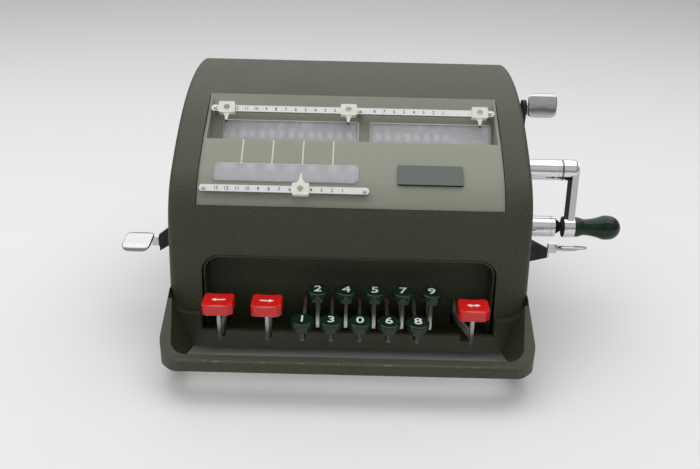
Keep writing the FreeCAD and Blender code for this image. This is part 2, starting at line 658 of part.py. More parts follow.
def build_floor():
    plate = fuse("plate_blank",
                 block("plate_main", ("-(base_inner - seam)", "base_inner - seam"),
                       ("cheek_back_y + seam", f"{BACK_Y} - base_wall - seam"),
                       ("foot_height", "foot_height + plate_thick")),
                 block("plate_tongue", ("-(cheek_half - seam)", "cheek_half - seam"),
                       ("lip_front_y + base_wall + seam", "cheek_back_y + seam"),
                       ("foot_height", "foot_height + plate_thick")))
    holes = [rod(f"plate_hole_{index}", "foot_screw + 0.2", "plate_thick + 2", x, y, "foot_height - 1", "Z")
             for index, (x, y) in enumerate(FEET)]
    finish("bottom_plate", cut("plate_cut", plate, *holes))
    feet, screws = [], []
    for index, (x, y) in enumerate(FEET):
        feet.append(turned(f"foot_{index}", [
            ("0", "foot_screw * 2 + 1"), ("0", "foot_radius - 1"), ("1", "foot_radius"),
            ("foot_height", "foot_radius + 1"), ("foot_height", "foot_screw + 0.2"),
            ("foot_height / 2", "foot_screw + 0.2"), ("foot_height / 2", "foot_screw * 2 + 1"),
        ], x, y, 0, "Z"))
        screws.append(turned(f"foot_screw_{index}", [
            ("foot_height / 2 - foot_screw", 0), ("foot_height / 2 - foot_screw", "foot_screw * 2 - 0.5"),
            ("foot_height / 2", "foot_screw * 2"), ("foot_height / 2", "foot_screw"),
            ("foot_height + plate_thick + 2", "foot_screw"), ("foot_height + plate_thick + 2", 0),
        ], x, y, 0, "Z"))
    finish("rubber_feet", group("feet_group", feet))
    finish("foot_screws", group("foot_screw_group", screws))


# Casing and window panel ---------------------------------------------------------------------

def on_recess(up, lift):
    """Point in the side view, up the recess floor from its foot and lifted off its face."""
    return (f"ledge_y + ({up}) * cos(recess_slope) - ({lift}) * sin(recess_slope)",
            f"ledge_z + ({up}) * sin(recess_slope) + ({lift}) * cos(recess_slope)")


def on_brow(y, inset):
    """Height of the first bend over a place along Y, moved inwards."""
    return f"{brow[1]} + sqrt((brow_radius - ({inset}))^2 - (({y}) - ({brow[0]}))^2)"


def on_slope(y, inset):
    """Height of the long slope over a place along Y, moved inwards."""
    return f"{slope[1]} + sqrt((slope_radius - ({inset}))^2 - (({y}) - ({slope[0]}))^2)"


LOW_FACE = ("low_face_y", f"{on_brow('low_face_y', 'panel_inset')} - low_face_sink")
LOW_FACE_SLOPE = f"(acos((low_face_y - ({brow[0]})) / (brow_radius - panel_inset)) / 1deg - 90)"
RECESS_TOP = on_recess("recess_length", 0)


def tilted(name, corners, middle, slope_angle, lift, thickness):
    """Outline of (x, distance up the slope), padded off a tilted face.

    The face passes through the middle point of the side view and rises to the back.
    """
    body = doc.addObject("PartDesign::Body", name)
    sketch = sketch_in(body, "XY", corners)
    sketch.AttachmentOffset = Placement(Vector(), Rotation(Vector(1, 0, 0), number(slope_angle)))
    bind(sketch, **{
        "AttachmentOffset.Rotation.Angle": slope_angle,
        "AttachmentOffset.Base.y": f"{middle[0]} - ({lift}) * sin({slope_angle})",
        "AttachmentOffset.Base.z": f"{middle[1]} + ({lift}) * cos({slope_angle})",
    })
    pad = body.newObject("PartDesign::Pad", name + "_pad")
    pad.Profile = sketch
    bind(pad, Length=thickness)
    sketch.Visibility = False
    return body


def build_cover():
    shells = []
    for name, inset, low_z in (("cover_outside", "0", "cover_rim_z"),
                               ("cover_inside", "cover_wall", "cover_rim_z - 3")):
        half = f"(body_half - {inset})"
        shell = prism(name, "YZ", casing_profile(inset, low_z), f"-{half}", f"2 * {half}")
        foot, side = number(low_z), number(half)
        round_edges(shell, f"cover_edge - {inset}", lambda edge: not is_level(edge, "Z", foot)
                    and (is_level(edge, "X", side) or is_level(edge, "X", -side)))
        shells.append(shell)
    below = prism("cover_below", "XZ", rim_line(0) + [("body_half + 5", -5), ("-(body_half + 5)", -5)],
                  "lip_front_y - 10", f"{BACK_Y} - lip_front_y + 20")
    mouth = prism("cover_mouth", "XZ", [
        ("-mouth_half", "cover_rim_z - 5"), ("mouth_half", "cover_rim_z - 5"),
        ("mouth_half", "mouth_top_z - mouth_corner", "mouth_corner"),
        ("mouth_half - mouth_corner", "mouth_top_z"),
        ("mouth_corner - mouth_half", "mouth_top_z", "mouth_corner"),
        ("-mouth_half", "mouth_top_z - mouth_corner"),
    ], "cover_front_y - 5", "tray_y - cover_front_y + 5")
    low_heading = "panel_low_heading + seam / brow_radius * 57.3"
    low, low_outside = [on_bend(brow, low_heading, f"brow_radius + {reach}") for reach in (-4, 10)]
    window = prism("cover_window", "YZ", [
        low, (f"{RECESS_TOP[0]} + seam", f"{RECESS_TOP[1]} - cover_edge"),
        (f"{RECESS_TOP[0]} + seam", f"{RECESS_TOP[1]} + 10"),
        (low_outside[0], f"{RECESS_TOP[1]} + 10"), low_outside],
        "-(panel_half + seam)", "2 * (panel_half + seam)")
    depth = "3 * cover_wall"
    starts = {1: "body_half - 2 * cover_wall", -1: "-body_half - cover_wall"}
    holes = [rod("cover_bush_hole", "bush_radius + seam", depth, starts[1], "crank_y", "crank_z")]
    for side, name in LEVERS:
        holes.append(rod(f"cover_{name}_hole", "lever_shaft + seam", depth, starts[side],
                         f"{name}_pivot_y", f"{name}_pivot_z"))
    for index, (side, y) in enumerate(COVER_SCREWS):
        holes.append(rod(f"cover_screw_hole_{index}", "foot_screw + 0.2", depth, starts[side],
                         y, "cover_screw_z"))
    finish("cover", cut("cover_cut", shells[0], shells[1], below, mouth, window, *holes))
    screws = []
    for index, (side, y) in enumerate(COVER_SCREWS):
        screw = turned(f"cover_screw_{index}", [
            ("body_half - 10", 0), ("body_half - 10", "foot_screw"), ("body_half", "foot_screw"),
            ("body_half", "foot_screw * 2"),
            ("body_half + foot_screw - 0.6", "foot_screw * 2 - 0.6"), ("body_half + foot_screw", 0),
        ], 0, y, "cover_screw_z")
        if side < 0:
            screw = place(screw, 0, y, "cover_screw_z", Rotation(Vector(0, 0, 1), 180))
        screws.append(screw)
    finish("cover_screws", group("cover_screw_group", screws))


# Side (+1 right, -1 left) and name of each clearing lever.
LEVERS = [(-1, "left"), (1, "high"), (1, "low")]
COVER_SCREWS = [(side, y) for side in (-1, 1) for y in ("cover_screw_front_y", "cover_screw_back_y")]


def panel_section(sheet_inset):
    """Upper face of the window panel in the side view, from its lower edge to the recess top."""
    inset = f"(panel_inset + {sheet_inset})"
    step_y = f"step_y - {sheet_inset} * 0.5"
    return [(*on_bend(brow, "panel_low_heading", f"brow_radius - {inset}"), f"-(brow_radius - {inset})"),
            (*on_bend(brow, "brow_heading", f"brow_radius - {inset}"), f"-(slope_radius - {inset})"),
            (step_y, on_slope(step_y, inset))]


def build_window_panel():
    upper = panel_section("0") + [on_recess(0, 0), on_recess("recess_length", 0)]
    low, knee, step = panel_section("panel_sheet")
    returned = [(RECESS_TOP[0], f"{RECESS_TOP[1]} - panel_sheet / cos(recess_slope)"),
                on_recess("-panel_sheet * 0.6", "-panel_sheet"),
                (*step, "slope_radius - panel_inset - panel_sheet"),
                (*knee[:2], "brow_radius - panel_inset - panel_sheet"), low[:2]]
    sheet_body = prism("panel_sheet_metal", "YZ", upper + returned, "-panel_half", "2 * panel_half")
    ends = []
    for index, start in enumerate(("-panel_half", "panel_half - panel_sheet")):
        ends.append(prism(f"panel_end_{index}", "YZ", [
            ("step_y", on_slope("step_y", "panel_inset")), on_recess(0, 0), RECESS_TOP,
            (RECESS_TOP[0], on_slope(RECESS_TOP[0], "panel_inset")),
        ], start, "panel_sheet"))
    tools = [seat(f"panel_{name}_seat") for name, seat in PANEL_SEATS]
    finish("window_panel", cut("panel_cut", fuse("panel_blank", sheet_body, *ends), *tools))


def number_window(name, left, right):
    """Bevelled plate on the recess floor."""
    return tilted(name, rounded(left, right, "number_low", "number_high", "window_bevel * 2"),
                  ("ledge_y", "ledge_z"), "recess_slope", "0", "window_thick")


def number_slot(name, left, right):
    """Opening in the recess floor under a number window."""
    return tilted(name, rectangle(f"{left} + window_rim", f"{right} - window_rim",
                                  "number_low + window_rim", "number_high - window_rim"),
                  ("ledge_y", "ledge_z"), "recess_slope", "-panel_sheet * 2", "panel_sheet * 3")


def setting_plate(name):
    """Rounded plate let into the lower part of the panel."""
    half = "setting_width / 2"
    return tilted(name, rounded("result_left", "setting_right", f"-{half}", half, "setting_corner"),
                  LOW_FACE, LOW_FACE_SLOPE, "-panel_sheet", "panel_sheet + window_thick")


def badge_plate(name):
    half = "badge_width / 2"
    return tilted(name, rounded("badge_left", "badge_right", f"-{half}", half, "1"),
                  LOW_FACE, LOW_FACE_SLOPE, "0", "badge_thick")


UPPER_RAIL = on_recess("upper_rail_up", "upper_rail_lift")
LOWER_RAIL = (f"{brow[0]} - (brow_radius - panel_inset + lower_rail_lift) * sin(lower_rail_angle)",
              f"{brow[1]} + (brow_radius - panel_inset + lower_rail_lift) * cos(lower_rail_angle)")
RAILS = {
    "upper": (UPPER_RAIL, "recess_slope", "-upper_rail_half", "upper_rail_half", "upper_rail_lift",
              ["-upper_rail_half + post_inset", "middle_post_x", "upper_rail_half - post_inset"]),
    "lower": (LOWER_RAIL, "lower_rail_angle", "lower_rail_left", "lower_rail_right", "lower_rail_lift",
              ["lower_rail_left + post_inset", "lower_rail_right - post_inset"]),
}


def upright_rod(name, radius, length, x, middle, slope_angle, lift):
    """Cylinder square to a tilted face, starting at a lift off the middle line."""
    item = rod(name, radius, length, x, f"{middle[0]} - ({lift}) * sin({slope_angle})",
               f"{middle[1]} + ({lift}) * cos({slope_angle})", "Z")
    return tilt(item, slope_angle)


def rail_posts(name, wider="0"):
    """Posts of both rails; they pass through the panel and end under the rails."""
    posts = []
    for rail, (middle, angle, _, _, lift, places) in RAILS.items():
        for index, x in enumerate(places):
            length = f"{lift} + panel_sheet + 1"
            posts.append(upright_rod(f"{name}_{rail}_{index}", f"post_radius + {wider}", length, x, middle, angle,
                                     f"-({length})"))
    return posts


PANEL_SEATS = [
    ("result", lambda name: number_slot(name, "result_left", "result_right")),
    ("counter", lambda name: number_slot(name, "counter_left", "counter_right")),
    ("setting", setting_plate),
    ("badge", badge_plate),
    ("post", lambda name: fuse(name, *rail_posts(name + "_rod"))),
]


def build_rails():
    finish("rail_posts", group("rail_post_group", rail_posts("rail_post")))
    screws = []
    for rail, (middle, angle, left, right, _, places) in RAILS.items():
        strip = tilted(f"{rail}_rail_strip", rounded(left, right, "-rail_width / 2", "rail_width / 2",
                                                     "rail_width * 0.49"), middle, angle, "0", "rail_thick")
        holes = []
        for index, x in enumerate(places):
            name = f"{rail}_rail_screw_{index}"
            holes.append(upright_rod(name + "_hole", "rail_screw + 0.1", "rail_thick + 2", x, middle, angle, "-1"))
            shank = upright_rod(name + "_shank", "rail_screw", "rail_thick", x, middle, angle, "0")
            head = upright_rod(name + "_head", "rail_head", "rail_head * 0.5", x, middle, angle, "rail_thick")
            screws.append(fuse(name, shank, head))
        finish(f"{rail}_rail", cut(f"{rail}_rail_cut", strip, *holes))
    finish("rail_screws", group("rail_screw_group", screws))


# Name of each pointer: its rail, its place at rest, and which way its tip points (-1 down the slope).
POINTERS = {
    "left_pointer": ("upper", "result_first_x - digit_pitch * 12.5", -1),
    "middle_pointer": ("upper", "result_first_x - digit_pitch * 0.15", -1),
    "right_pointer": ("upper", "counter_first_x + digit_pitch * 3.2", -1),
    "setting_pointer": ("lower", "result_first_x - digit_pitch * 4.5", 1),
}


def build_pointers():
    for node, (rail, x, way) in POINTERS.items():
        middle, angle = RAILS[rail][0], RAILS[rail][1]
        half = "pointer_width / 2"
        saddle = tilted(node + "_saddle", rounded(f"{x} - {half}", f"{x} + {half}", "-pointer_depth / 2",
                                                  "pointer_depth / 2", "1.2"),
                        middle, angle, "-pointer_play", "pointer_thick")
        across = "(rail_width / 2 + pointer_play)"
        groove = tilted(node + "_groove", rectangle(f"{x} - {half} - 1", f"{x} + {half} + 1", f"-{across}", across),
                        middle, angle, "-1", "rail_thick + pointer_play + 1")
        root, end = f"{way} * (pointer_depth / 2 - 0.5)", f"{way} * (pointer_depth / 2 + spike_length)"
        waist = f"{way} * (pointer_depth / 2 + spike_length * 0.3)"
        spike = tilted(node + "_spike", [
            (f"{x} - spike_root", root), (f"{x} + spike_root", root), (f"{x} + spike_root * 0.4", waist),
            (f"{x} + spike_tip", end), (f"{x} - spike_tip", end), (f"{x} - spike_root * 0.4", waist),
        ], middle, angle, "rail_thick + pointer_play", "spike_thick")
        hole = upright_rod(node + "_hole", "pointer_hole", "pointer_thick", x, middle, angle, "rail_thick")
        blank = fuse(node + "_blank", saddle, spike)
        finish(node, cut(node + "_cut", blank, groove, hole))


def build_windows():
    for node, left, right in (("result_window", "result_left", "result_right"),
                              ("counter_window", "counter_left", "counter_right")):
        plate = number_window(node + "_plate", left, right)
        bevel_top(plate, "recess_slope", "window_thick", ("ledge_y", "ledge_z"))
        finish(node, plate)
    plate = setting_plate("setting_window_plate")
    bevel_top(plate, LOW_FACE_SLOPE, "window_thick", LOW_FACE)
    finish("setting_window", plate)
    finish("badge_plate", badge_plate("badge_blank"))


def bevel_top(plate, angle, height, middle):
    """Bevel the upper edges of a plate on a tilted face."""
    tilt, y, z = math.radians(number(angle)), number(middle[0]), number(middle[1])

    def on_top(edge):
        return all(abs((vertex.Z - z) * math.cos(tilt) - (vertex.Y - y) * math.sin(tilt) - number(height)) < 1e-3
                   for vertex in edge.Vertexes)

    return round_edges(plate, "window_bevel", on_top, "Chamfer")


# Keyboard ------------------------------------------------------------------------------------

def build_tray():
    """Dark sheet behind the keys: a shallow box, open at the front and below, with a slot per key."""
    def mouth(half, top, corner, low):
        return [(f"-({half})", low), (half, low), (half, f"{top} - ({corner})", corner),
                (f"{half} - ({corner})", top), (f"({corner}) - ({half})", top, corner),
                (f"-({half})", f"{top} - ({corner})")]

    outside = prism("tray_outside", "XZ", mouth("mouth_half - seam * 2", "mouth_top_z - seam * 2", "mouth_corner",
                                                "tray_low_z"),
                    "tray_front_y", "tray_y + tray_sheet - tray_front_y")
    inside = prism("tray_inside", "XZ", mouth("mouth_half - seam * 2 - tray_sheet",
                                              "mouth_top_z - seam * 2 - tray_sheet",
                                              "mouth_corner - tray_sheet", "tray_low_z - 1"),
                   "tray_front_y - 1", "tray_y - tray_front_y + 1")
    half = "(lever_thick / 2 + slot_play)"
    slots = [block(f"tray_slot_{index}", (f"{x} - {half}", f"{x} + {half}"),
                   ("tray_y - 1", "tray_y + tray_sheet + 1"), ("slot_low_z", "slot_top_z"))
             for index, x in enumerate(SLOTS)]
    finish("keyboard_panel", cut("tray_cut", outside, inside, *slots))


def lever_outline(row_y, stem_top):
    """Side view of a key lever: flat bar from the tail to the stem, and the stem up to the cap."""
    front, rear = f"{row_y} - stem_depth / 2", f"{row_y} + stem_depth / 2"
    nose, top = "lever_low_z + lever_nose", "lever_low_z + lever_height"
    return [(front, "lever_low_z"), ("lever_tail_y", "lever_low_z"), ("lever_tail_y", top),
            ("tray_y", top), ("tray_y - lever_height", nose), (rear, nose), (rear, stem_top), (front, stem_top)]


def lever_plate(name, x, row_y, stem_top):
    blank = prism(name + "_plate", "YZ", lever_outline(row_y, stem_top), f"{x} - lever_thick / 2", "lever_thick")
    bore = rod(name + "_bore", "pivot_radius + running_fit", "lever_thick + 2", f"{x} - lever_thick / 2 - 1",
               "pivot_y", "pivot_z")
    return cut(name + "_lever", blank, bore)


def facet_ring(name, radius, x, y, z):
    """Regular polygon, flat on top of the table plane, as one section of a loft."""
    ring = doc.addObject("Part::RegularPolygon", name)
    bind(ring, Polygon="cap_facets", Circumradius=radius)
    return place(ring, x, y, z)


def digit_cap(name, x, y, foot):
    """Key cap: a round, slightly domed block with flats that lean in to its foot."""
    to_corner = "/ cos(180 / cap_facets)"
    flats = doc.addObject("Part::Loft", name + "_flats")
    flats.Sections = [facet_ring(name + "_foot", f"cap_foot {to_corner}", x, y, foot),
                      facet_ring(name + "_top", f"cap_flare {to_corner}", x, y,
                                 f"{foot} + cap_height + cap_dome")]
    flats.Solid = True
    block_round = turned(name + "_round", [
        (0, 0), (0, "cap_radius"), ("cap_height - cap_edge", "cap_radius", "cap_edge"),
        ("cap_height", "cap_radius - cap_edge"), ("cap_height + cap_dome", 0),
    ], x, y, foot, "Z")
    return common(name, block_round, flats)


def build_digit_keys():
    for digit, (place_in_row, row) in DIGIT_KEYS.items():
        name = f"digit_key_{digit}"
        x = digit_x(place_in_row, row)
        foot = f"{row}_row_z - cap_height"
        cap = digit_cap(name + "_cap", x, f"{row}_row_y", foot)
        finish(name, group(name + "_pair", [cap, lever_plate(name, x, f"{row}_row_y", foot)]))


def function_cap(name, x):
    outline = rounded(f"{x} - red_width / 2", f"{x} + red_width / 2", "front_row_y - red_depth / 2",
                      "front_row_y + red_depth / 2", "red_corner")
    outline[1] = (*outline[1][:2], "red_bow")
    cap = prism(name + "_cap", "XY", outline, "red_z - red_height", "red_height")
    top = number("red_z")
    edged = round_edges(cap, "red_corner / 3", lambda edge: is_level(edge, "Z", top))
    dish = rod(name + "_dish", "red_dish", "red_depth + 2", x, "front_row_y - red_depth / 2 - 1",
               "red_z + red_dish - red_dip", "Y")
    front = "(front_row_y - red_depth / 2 + red_bevel_y)"
    bevel = prism(name + "_bevel", "YZ", [
        (front, "red_z - red_dip / 4"), (f"{front} + 1", "red_z + 3"), (f"{front} - red_bevel_run", "red_z + 3"),
        (f"{front} - red_bevel_run", "red_z - red_dip / 4 - red_bevel_z")],
        f"{x} - red_width / 2 - 1", "red_width + 2")
    return cut(name + "_dished", edged, dish, bevel)


def build_function_keys():
    foot = "red_z - red_height"
    for name, x in (("shift_left_key", "left_shift_x"), ("shift_right_key", "right_shift_x")):
        finish(name, group(name + "_pair", [function_cap(name, x), lever_plate(name, x, "front_row_y", foot)]))
    finish("tabulator_key", group("tabulator_pair", [function_cap("tabulator", "tabulator_x"), bent_lever(foot)]))


def bent_lever(foot):
    """Lever of the tabulator key, bent sideways between its slot and its stem."""
    half = "lever_thick / 2"
    bend_y, stem_y = "tray_y - lever_height", "front_row_y + red_depth / 2"
    side = prism("bent_lever_side", "YZ", lever_outline("front_row_y", foot),
                 "tabulator_slot_x - lever_thick", "tabulator_jog + 2 * lever_thick")
    path = prism("bent_lever_path", "XY", [
        (f"tabulator_slot_x - {half}", "lever_tail_y"), (f"tabulator_slot_x - {half}", bend_y),
        (f"tabulator_x - {half}", stem_y), (f"tabulator_x - {half}", "front_row_y - stem_depth"),
        (f"tabulator_x + {half}", "front_row_y - stem_depth"), (f"tabulator_x + {half}", stem_y),
        (f"tabulator_slot_x + {half}", bend_y), (f"tabulator_slot_x + {half}", "lever_tail_y"),
    ], "lever_low_z - 1", f"{foot} - lever_low_z + 2")
    bore = rod("bent_lever_bore", "pivot_radius + running_fit", "lever_thick + 2", f"tabulator_slot_x - {half} - 1",
               "pivot_y", "pivot_z")
    return cut("bent_lever", common("bent_lever_blank", side, path), bore)


def build_key_mechanism():
    finish("key_pivot_axle", rod("key_axle", "pivot_radius", "2 * frame_end_x",
                                 "-frame_end_x", "pivot_y", "pivot_z"))
    springs = [rod(f"key_spring_{index}", "spring_radius", "lever_low_z - seam - floor_z",
                   x, "spring_y", "floor_z", "Z") for index, x in enumerate(SLOTS)]
    finish("key_springs", group("key_spring_group", springs))


# Crank ---------------------------------------------------------------------------------------



def strap(name, start, end, half, x, depth):
    """Flat bar in the side view with round ends about two points."""
    length = f"sqrt((({end[0]}) - ({start[0]}))^2 + (({end[1]}) - ({start[1]}))^2)"
    step = [f"({half}) * (({end[axis]}) - ({start[axis]})) / {length}" for axis in (0, 1)]

    def beside(point, along, across):
        return (f"{point[0]} + {along} * {step[0]} - {across} * {step[1]}",
                f"{point[1]} + {along} * {step[1]} + {across} * {step[0]}")

    return prism(name, "YZ", [
        beside(start, 0, -1), (*beside(end, 0, -1), half), (*beside(end, 1, 0), half), beside(end, 0, 1),
        (*beside(start, 0, 1), half), (*beside(start, -1, 0), half),
    ], x, depth)


def build_crank():
    finish("crank_shaft", rod("crank_shaft_rod", "shaft_radius", "hub_end_x - 2 - (gear_x - 2)", "gear_x - 2",
                              "crank_y", "crank_z"))
    bush = turned("bush_blank", [
        ("frame_end_x", "shaft_radius + running_fit"), ("frame_end_x", "bush_radius"),
        ("bush_end_x - ring_inset", "bush_radius"), ("bush_end_x - ring_inset", "bush_radius - ring_cut"),
        ("bush_end_x - ring_inset + ring_cut", "bush_radius - ring_cut"),
        ("bush_end_x - ring_inset + ring_cut", "bush_radius"),
        ("bush_end_x - ring_cut", "bush_radius"), ("bush_end_x", "bush_radius - ring_cut"),
        ("bush_end_x", "shaft_radius + running_fit")], 0, "crank_y", "crank_z")
    finish("crank_bush", bush)

    outline = strap("arm_outline", ("crank_y", "crank_z"), ("pin_y", "pin_z"), "arm_width / 2",
                    "hub_x", "hub_length + 2")
    top, foot = "arm_width / 2", "-(crank_throw + arm_width / 2)"
    lean = prism("arm_lean", "XZ", [
        ("hub_end_x - arm_thick", top), ("hub_end_x", top), ("hub_end_x", 0),
        ("hub_end_x - arm_offset", foot), ("hub_end_x - arm_offset - arm_thick", foot),
        ("hub_end_x - arm_thick", 0),
    ], "-arm_width", "2 * arm_width")
    tilt(place(lean, 0, "crank_y", "crank_z"), "-crank_lean")
    hub = turned("crank_hub", [
        ("hub_x", 0), ("hub_x", "hub_radius - ring_cut"), ("hub_x + ring_cut", "hub_radius"),
        ("hub_end_x - hub_round", "hub_radius", "-hub_round"), ("hub_end_x", "hub_radius - hub_round"),
        ("hub_end_x", 0),
    ], 0, "crank_y", "crank_z")
    boss = turned("crank_boss", [
        ("boss_x - boss_tip", 0), ("boss_x - boss_tip", "rest_tip"), ("boss_x", "hub_radius"),
        ("boss_end_x", "hub_radius"), ("boss_end_x", 0),
    ], 0, "pin_y", "pin_z")
    bores = [rod("hub_bore", "shaft_radius + running_fit", "hub_length - 2 + seam", "hub_x", "crank_y", "crank_z"),
             rod("boss_bore", "pin_radius + running_fit", "boss_length", "boss_x + 1", "pin_y", "pin_z")]
    blank = fuse("crank_blank", hub, common("arm_bar", outline, lean), boss)
    finish("crank_arm", cut("crank_cut", blank, *bores))

    finish("crank_handle_pin", rod("handle_pin", "pin_radius", "handle_length * 0.75 + boss_length - 1",
                                   "boss_x + 1", "pin_y", "pin_z"))
    bore = "pin_radius + running_fit"
    finish("crank_handle", turned("handle_blank", [
        (0, bore), (0, "handle_collar"), (2.5, "handle_collar"),
        ("handle_length * 0.22", "handle_neck", "handle_length * 1.2"),
        ("handle_length * 0.62", "handle_bulb - 0.4", "-handle_length * 0.5"),
        ("handle_length * 0.82", "handle_bulb - 0.6", "-handle_bulb"),
        ("handle_length", "handle_bulb * 0.3"), ("handle_length", 0), ("handle_length * 0.8", 0),
        ("handle_length * 0.8", bore),
    ], "handle_x", "pin_y", "pin_z"))

    rest_end = "body_half + rest_length"
    finish("crank_rest", turned("rest_blank", [
        ("body_half", 0), ("body_half", "bush_radius"), (f"{rest_end} - ring_inset", "bush_radius"),
        (f"{rest_end} - ring_inset", "bush_radius - ring_cut"),
        (f"{rest_end} - ring_inset + ring_cut", "bush_radius - ring_cut"),
        (f"{rest_end} - ring_inset + ring_cut", "bush_radius"), (rest_end, "bush_radius"),
        ("boss_x - boss_tip - rest_gap", "rest_tip"), ("boss_x - boss_tip - rest_gap", 0),
    ], 0, "pin_y", "pin_z"))


# Clearing levers -----------------------------------------------------------------------------

def build_clearing_levers():
    for side, name in LEVERS:
        pivot = (f"{name}_pivot_y", f"{name}_pivot_z")
        tab = (f"{name}_tab_y", f"{name}_tab_z")

        def span(near, far):
            """Start and length along X of a stretch given by distances from the middle plane."""
            return (near if side > 0 else f"-({far})", f"({far}) - ({near})")

        arm_end = f"{name}_arm_x + lever_plate"
        arm = strap(f"{name}_arm", pivot, tab, "lever_arm_half", *span(f"{name}_arm_x", arm_end))
        start, length = span("frame_x - 1", arm_end)
        shaft = rod(f"{name}_shaft", "lever_shaft", length, start, *pivot)
        start, length = span("frame_x + frame_thick + seam", "frame_x + frame_thick + 3")
        collar = rod(f"{name}_collar", "lever_shaft + 2", length, start, *pivot)
        tab_start = f"(body_half + {name}_tab_start)"
        start, length = span(tab_start, f"{name}_tab_end")
        lean = f"{name}_tab_lean"
        along = (f"cos({lean})", f"sin({lean})")
        half, sheet_half = f"{name}_tab_width / 2", "tab_sheet / 2"
        corners = [(f"{tab[0]} + {u} * {half} * {along[0]} - {v} * {sheet_half} * {along[1]}",
                    f"{tab[1]} + {u} * {half} * {along[1]} + {v} * {sheet_half} * {along[0]}")
                   for u, v in ((-1, -1), (1, -1), (1, 1), (-1, 1))]
        plate = prism(f"{name}_tab", "YZ", corners, start, length)
        lip = rod(f"{name}_lip", f"{name}_tab_lip", length, start,
                  f"{tab[0]} + {half} * {along[0]}", f"{tab[1]} + {half} * {along[1]}")
        neck_x = f"({tab_start} - neck_gap)"
        neck = prism(f"{name}_neck_plate", "XZ", [
            (f"{side} * {x}", f"{tab[1]} + {name}_neck_{corner}") for x, corner in (
                (f"{name}_arm_x", "inner_top"), (neck_x, "outer_top"), (neck_x, "outer_foot"),
                (f"{name}_arm_x", "inner_foot"))], f"{tab[0]} + {name}_neck_behind", "lever_plate")
        start, length = span(f"({neck_x} - 1)", f"({tab_start} + 1)")
        bridge = prism(f"{name}_bridge", "YZ", [
            (f"{tab[0]} + {name}_neck_behind + {y}", f"{tab[1]} + {z}")
            for y, z in ((0, "bridge_low"), ("lever_plate", "bridge_low"), ("lever_plate", "bridge_high"),
                         (0, "bridge_high"))], start, length)
        finish(CLEARING_NAMES[name], fuse(f"{name}_lever", arm, shaft, collar, plate, lip, neck, bridge))


CLEARING_NAMES = {"left": "setting_clearing_lever", "high": "result_clearing_lever",
                  "low": "counter_clearing_lever"}


# Mechanism -----------------------------------------------------------------------------------

NUMERAL_AXIS = on_recess("wheel_axis_up", "-wheel_axis_down")
TIES = [("tie_back_y", "tie_back_z"), ("tie_low_y", "tie_low_z"), ("tie_front_y", "tie_front_z")]


def build_frame():
    inset = "frame_gap"
    profile = casing_profile(inset, "frame_low_z")
    front_top = ("frame_front_y", on_brow("frame_front_y", inset), profile[1][2])
    outline = [("frame_front_y", "frame_low_z"), front_top, *profile[2:]]
    bores = [("rotor", "rotor_shaft_radius", "rotor_y", "rotor_z"), ("numeral", "axle_radius", *NUMERAL_AXIS),
             ("key", "pivot_radius", "pivot_y", "pivot_z")]
    bores += [(f"tie_{index}", "tie_radius", *spot) for index, spot in enumerate(TIES)]
    for side, node in ((-1, "left_side_plate"), (1, "right_side_plate")):
        start = "frame_x" if side > 0 else "-frame_end_x"
        holes = list(bores) + [(name, "lever_shaft", f"{name}_pivot_y", f"{name}_pivot_z")
                               for lever_side, name in LEVERS if lever_side == side]
        if side > 0:
            holes.append(("crank", "shaft_radius", "crank_y", "crank_z"))
        blank = prism(node + "_blank", "YZ", outline, start, "frame_thick")
        tools = [rod(f"{node}_{name}", f"{radius} + running_fit", "frame_thick + 2", f"{start} - 1", y, z)
                 for name, radius, y, z in holes]
        finish(node, cut(node + "_cut", blank, *tools))
    finish("tie_rods", group("tie_rod_group", [
        rod(f"tie_rod_{index}", "tie_radius", "2 * frame_end_x", "-frame_end_x", *spot)
        for index, spot in enumerate(TIES)]))


def toothed_wheel(name, bore, y, z, first_tooth):
    """Spur gear of module 1 across the side view, with a tooth at the given angle."""
    body = doc.addObject("PartDesign::Body", name)
    root, tip = "(gear_teeth / 2 - 1.25)", "(gear_teeth / 2 + 1)"
    ring = [("0", f"-{root}", root), (root, 0, root), (0, root, root), (f"-{root}", 0, root)]
    disc = body.newObject("PartDesign::Pad", name + "_disc")
    disc.Profile = sketch_in(body, "YZ", ring)
    bind(disc, Length="gear_width")
    doc.recompute()
    tooth_sketch = sketch_in(body, "YZ", [
        (f"{root} - 0.5", "-(1.15 - gear_backlash)"), (tip, "-(0.42 - gear_backlash)"),
        (tip, "0.42 - gear_backlash"), (f"{root} - 0.5", "1.15 - gear_backlash")])
    tooth = body.newObject("PartDesign::Pad", name + "_tooth")
    tooth.Profile = tooth_sketch
    bind(tooth, Length="gear_width")
    doc.recompute()
    teeth = body.newObject("PartDesign::PolarPattern", name + "_teeth")
    teeth.Originals = [tooth]
    teeth.Axis = (tooth_sketch, ["N_Axis"])
    teeth.Angle = 360
    bind(teeth, Occurrences="gear_teeth")
    body.Tip = teeth
    tilt(place(body, "gear_x", y, z), first_tooth)
    hole = rod(name + "_bore", f"{bore} + running_fit", "gear_width + 2", "gear_x - 1", y, z)
    return cut(name + "_bored", body, hole)


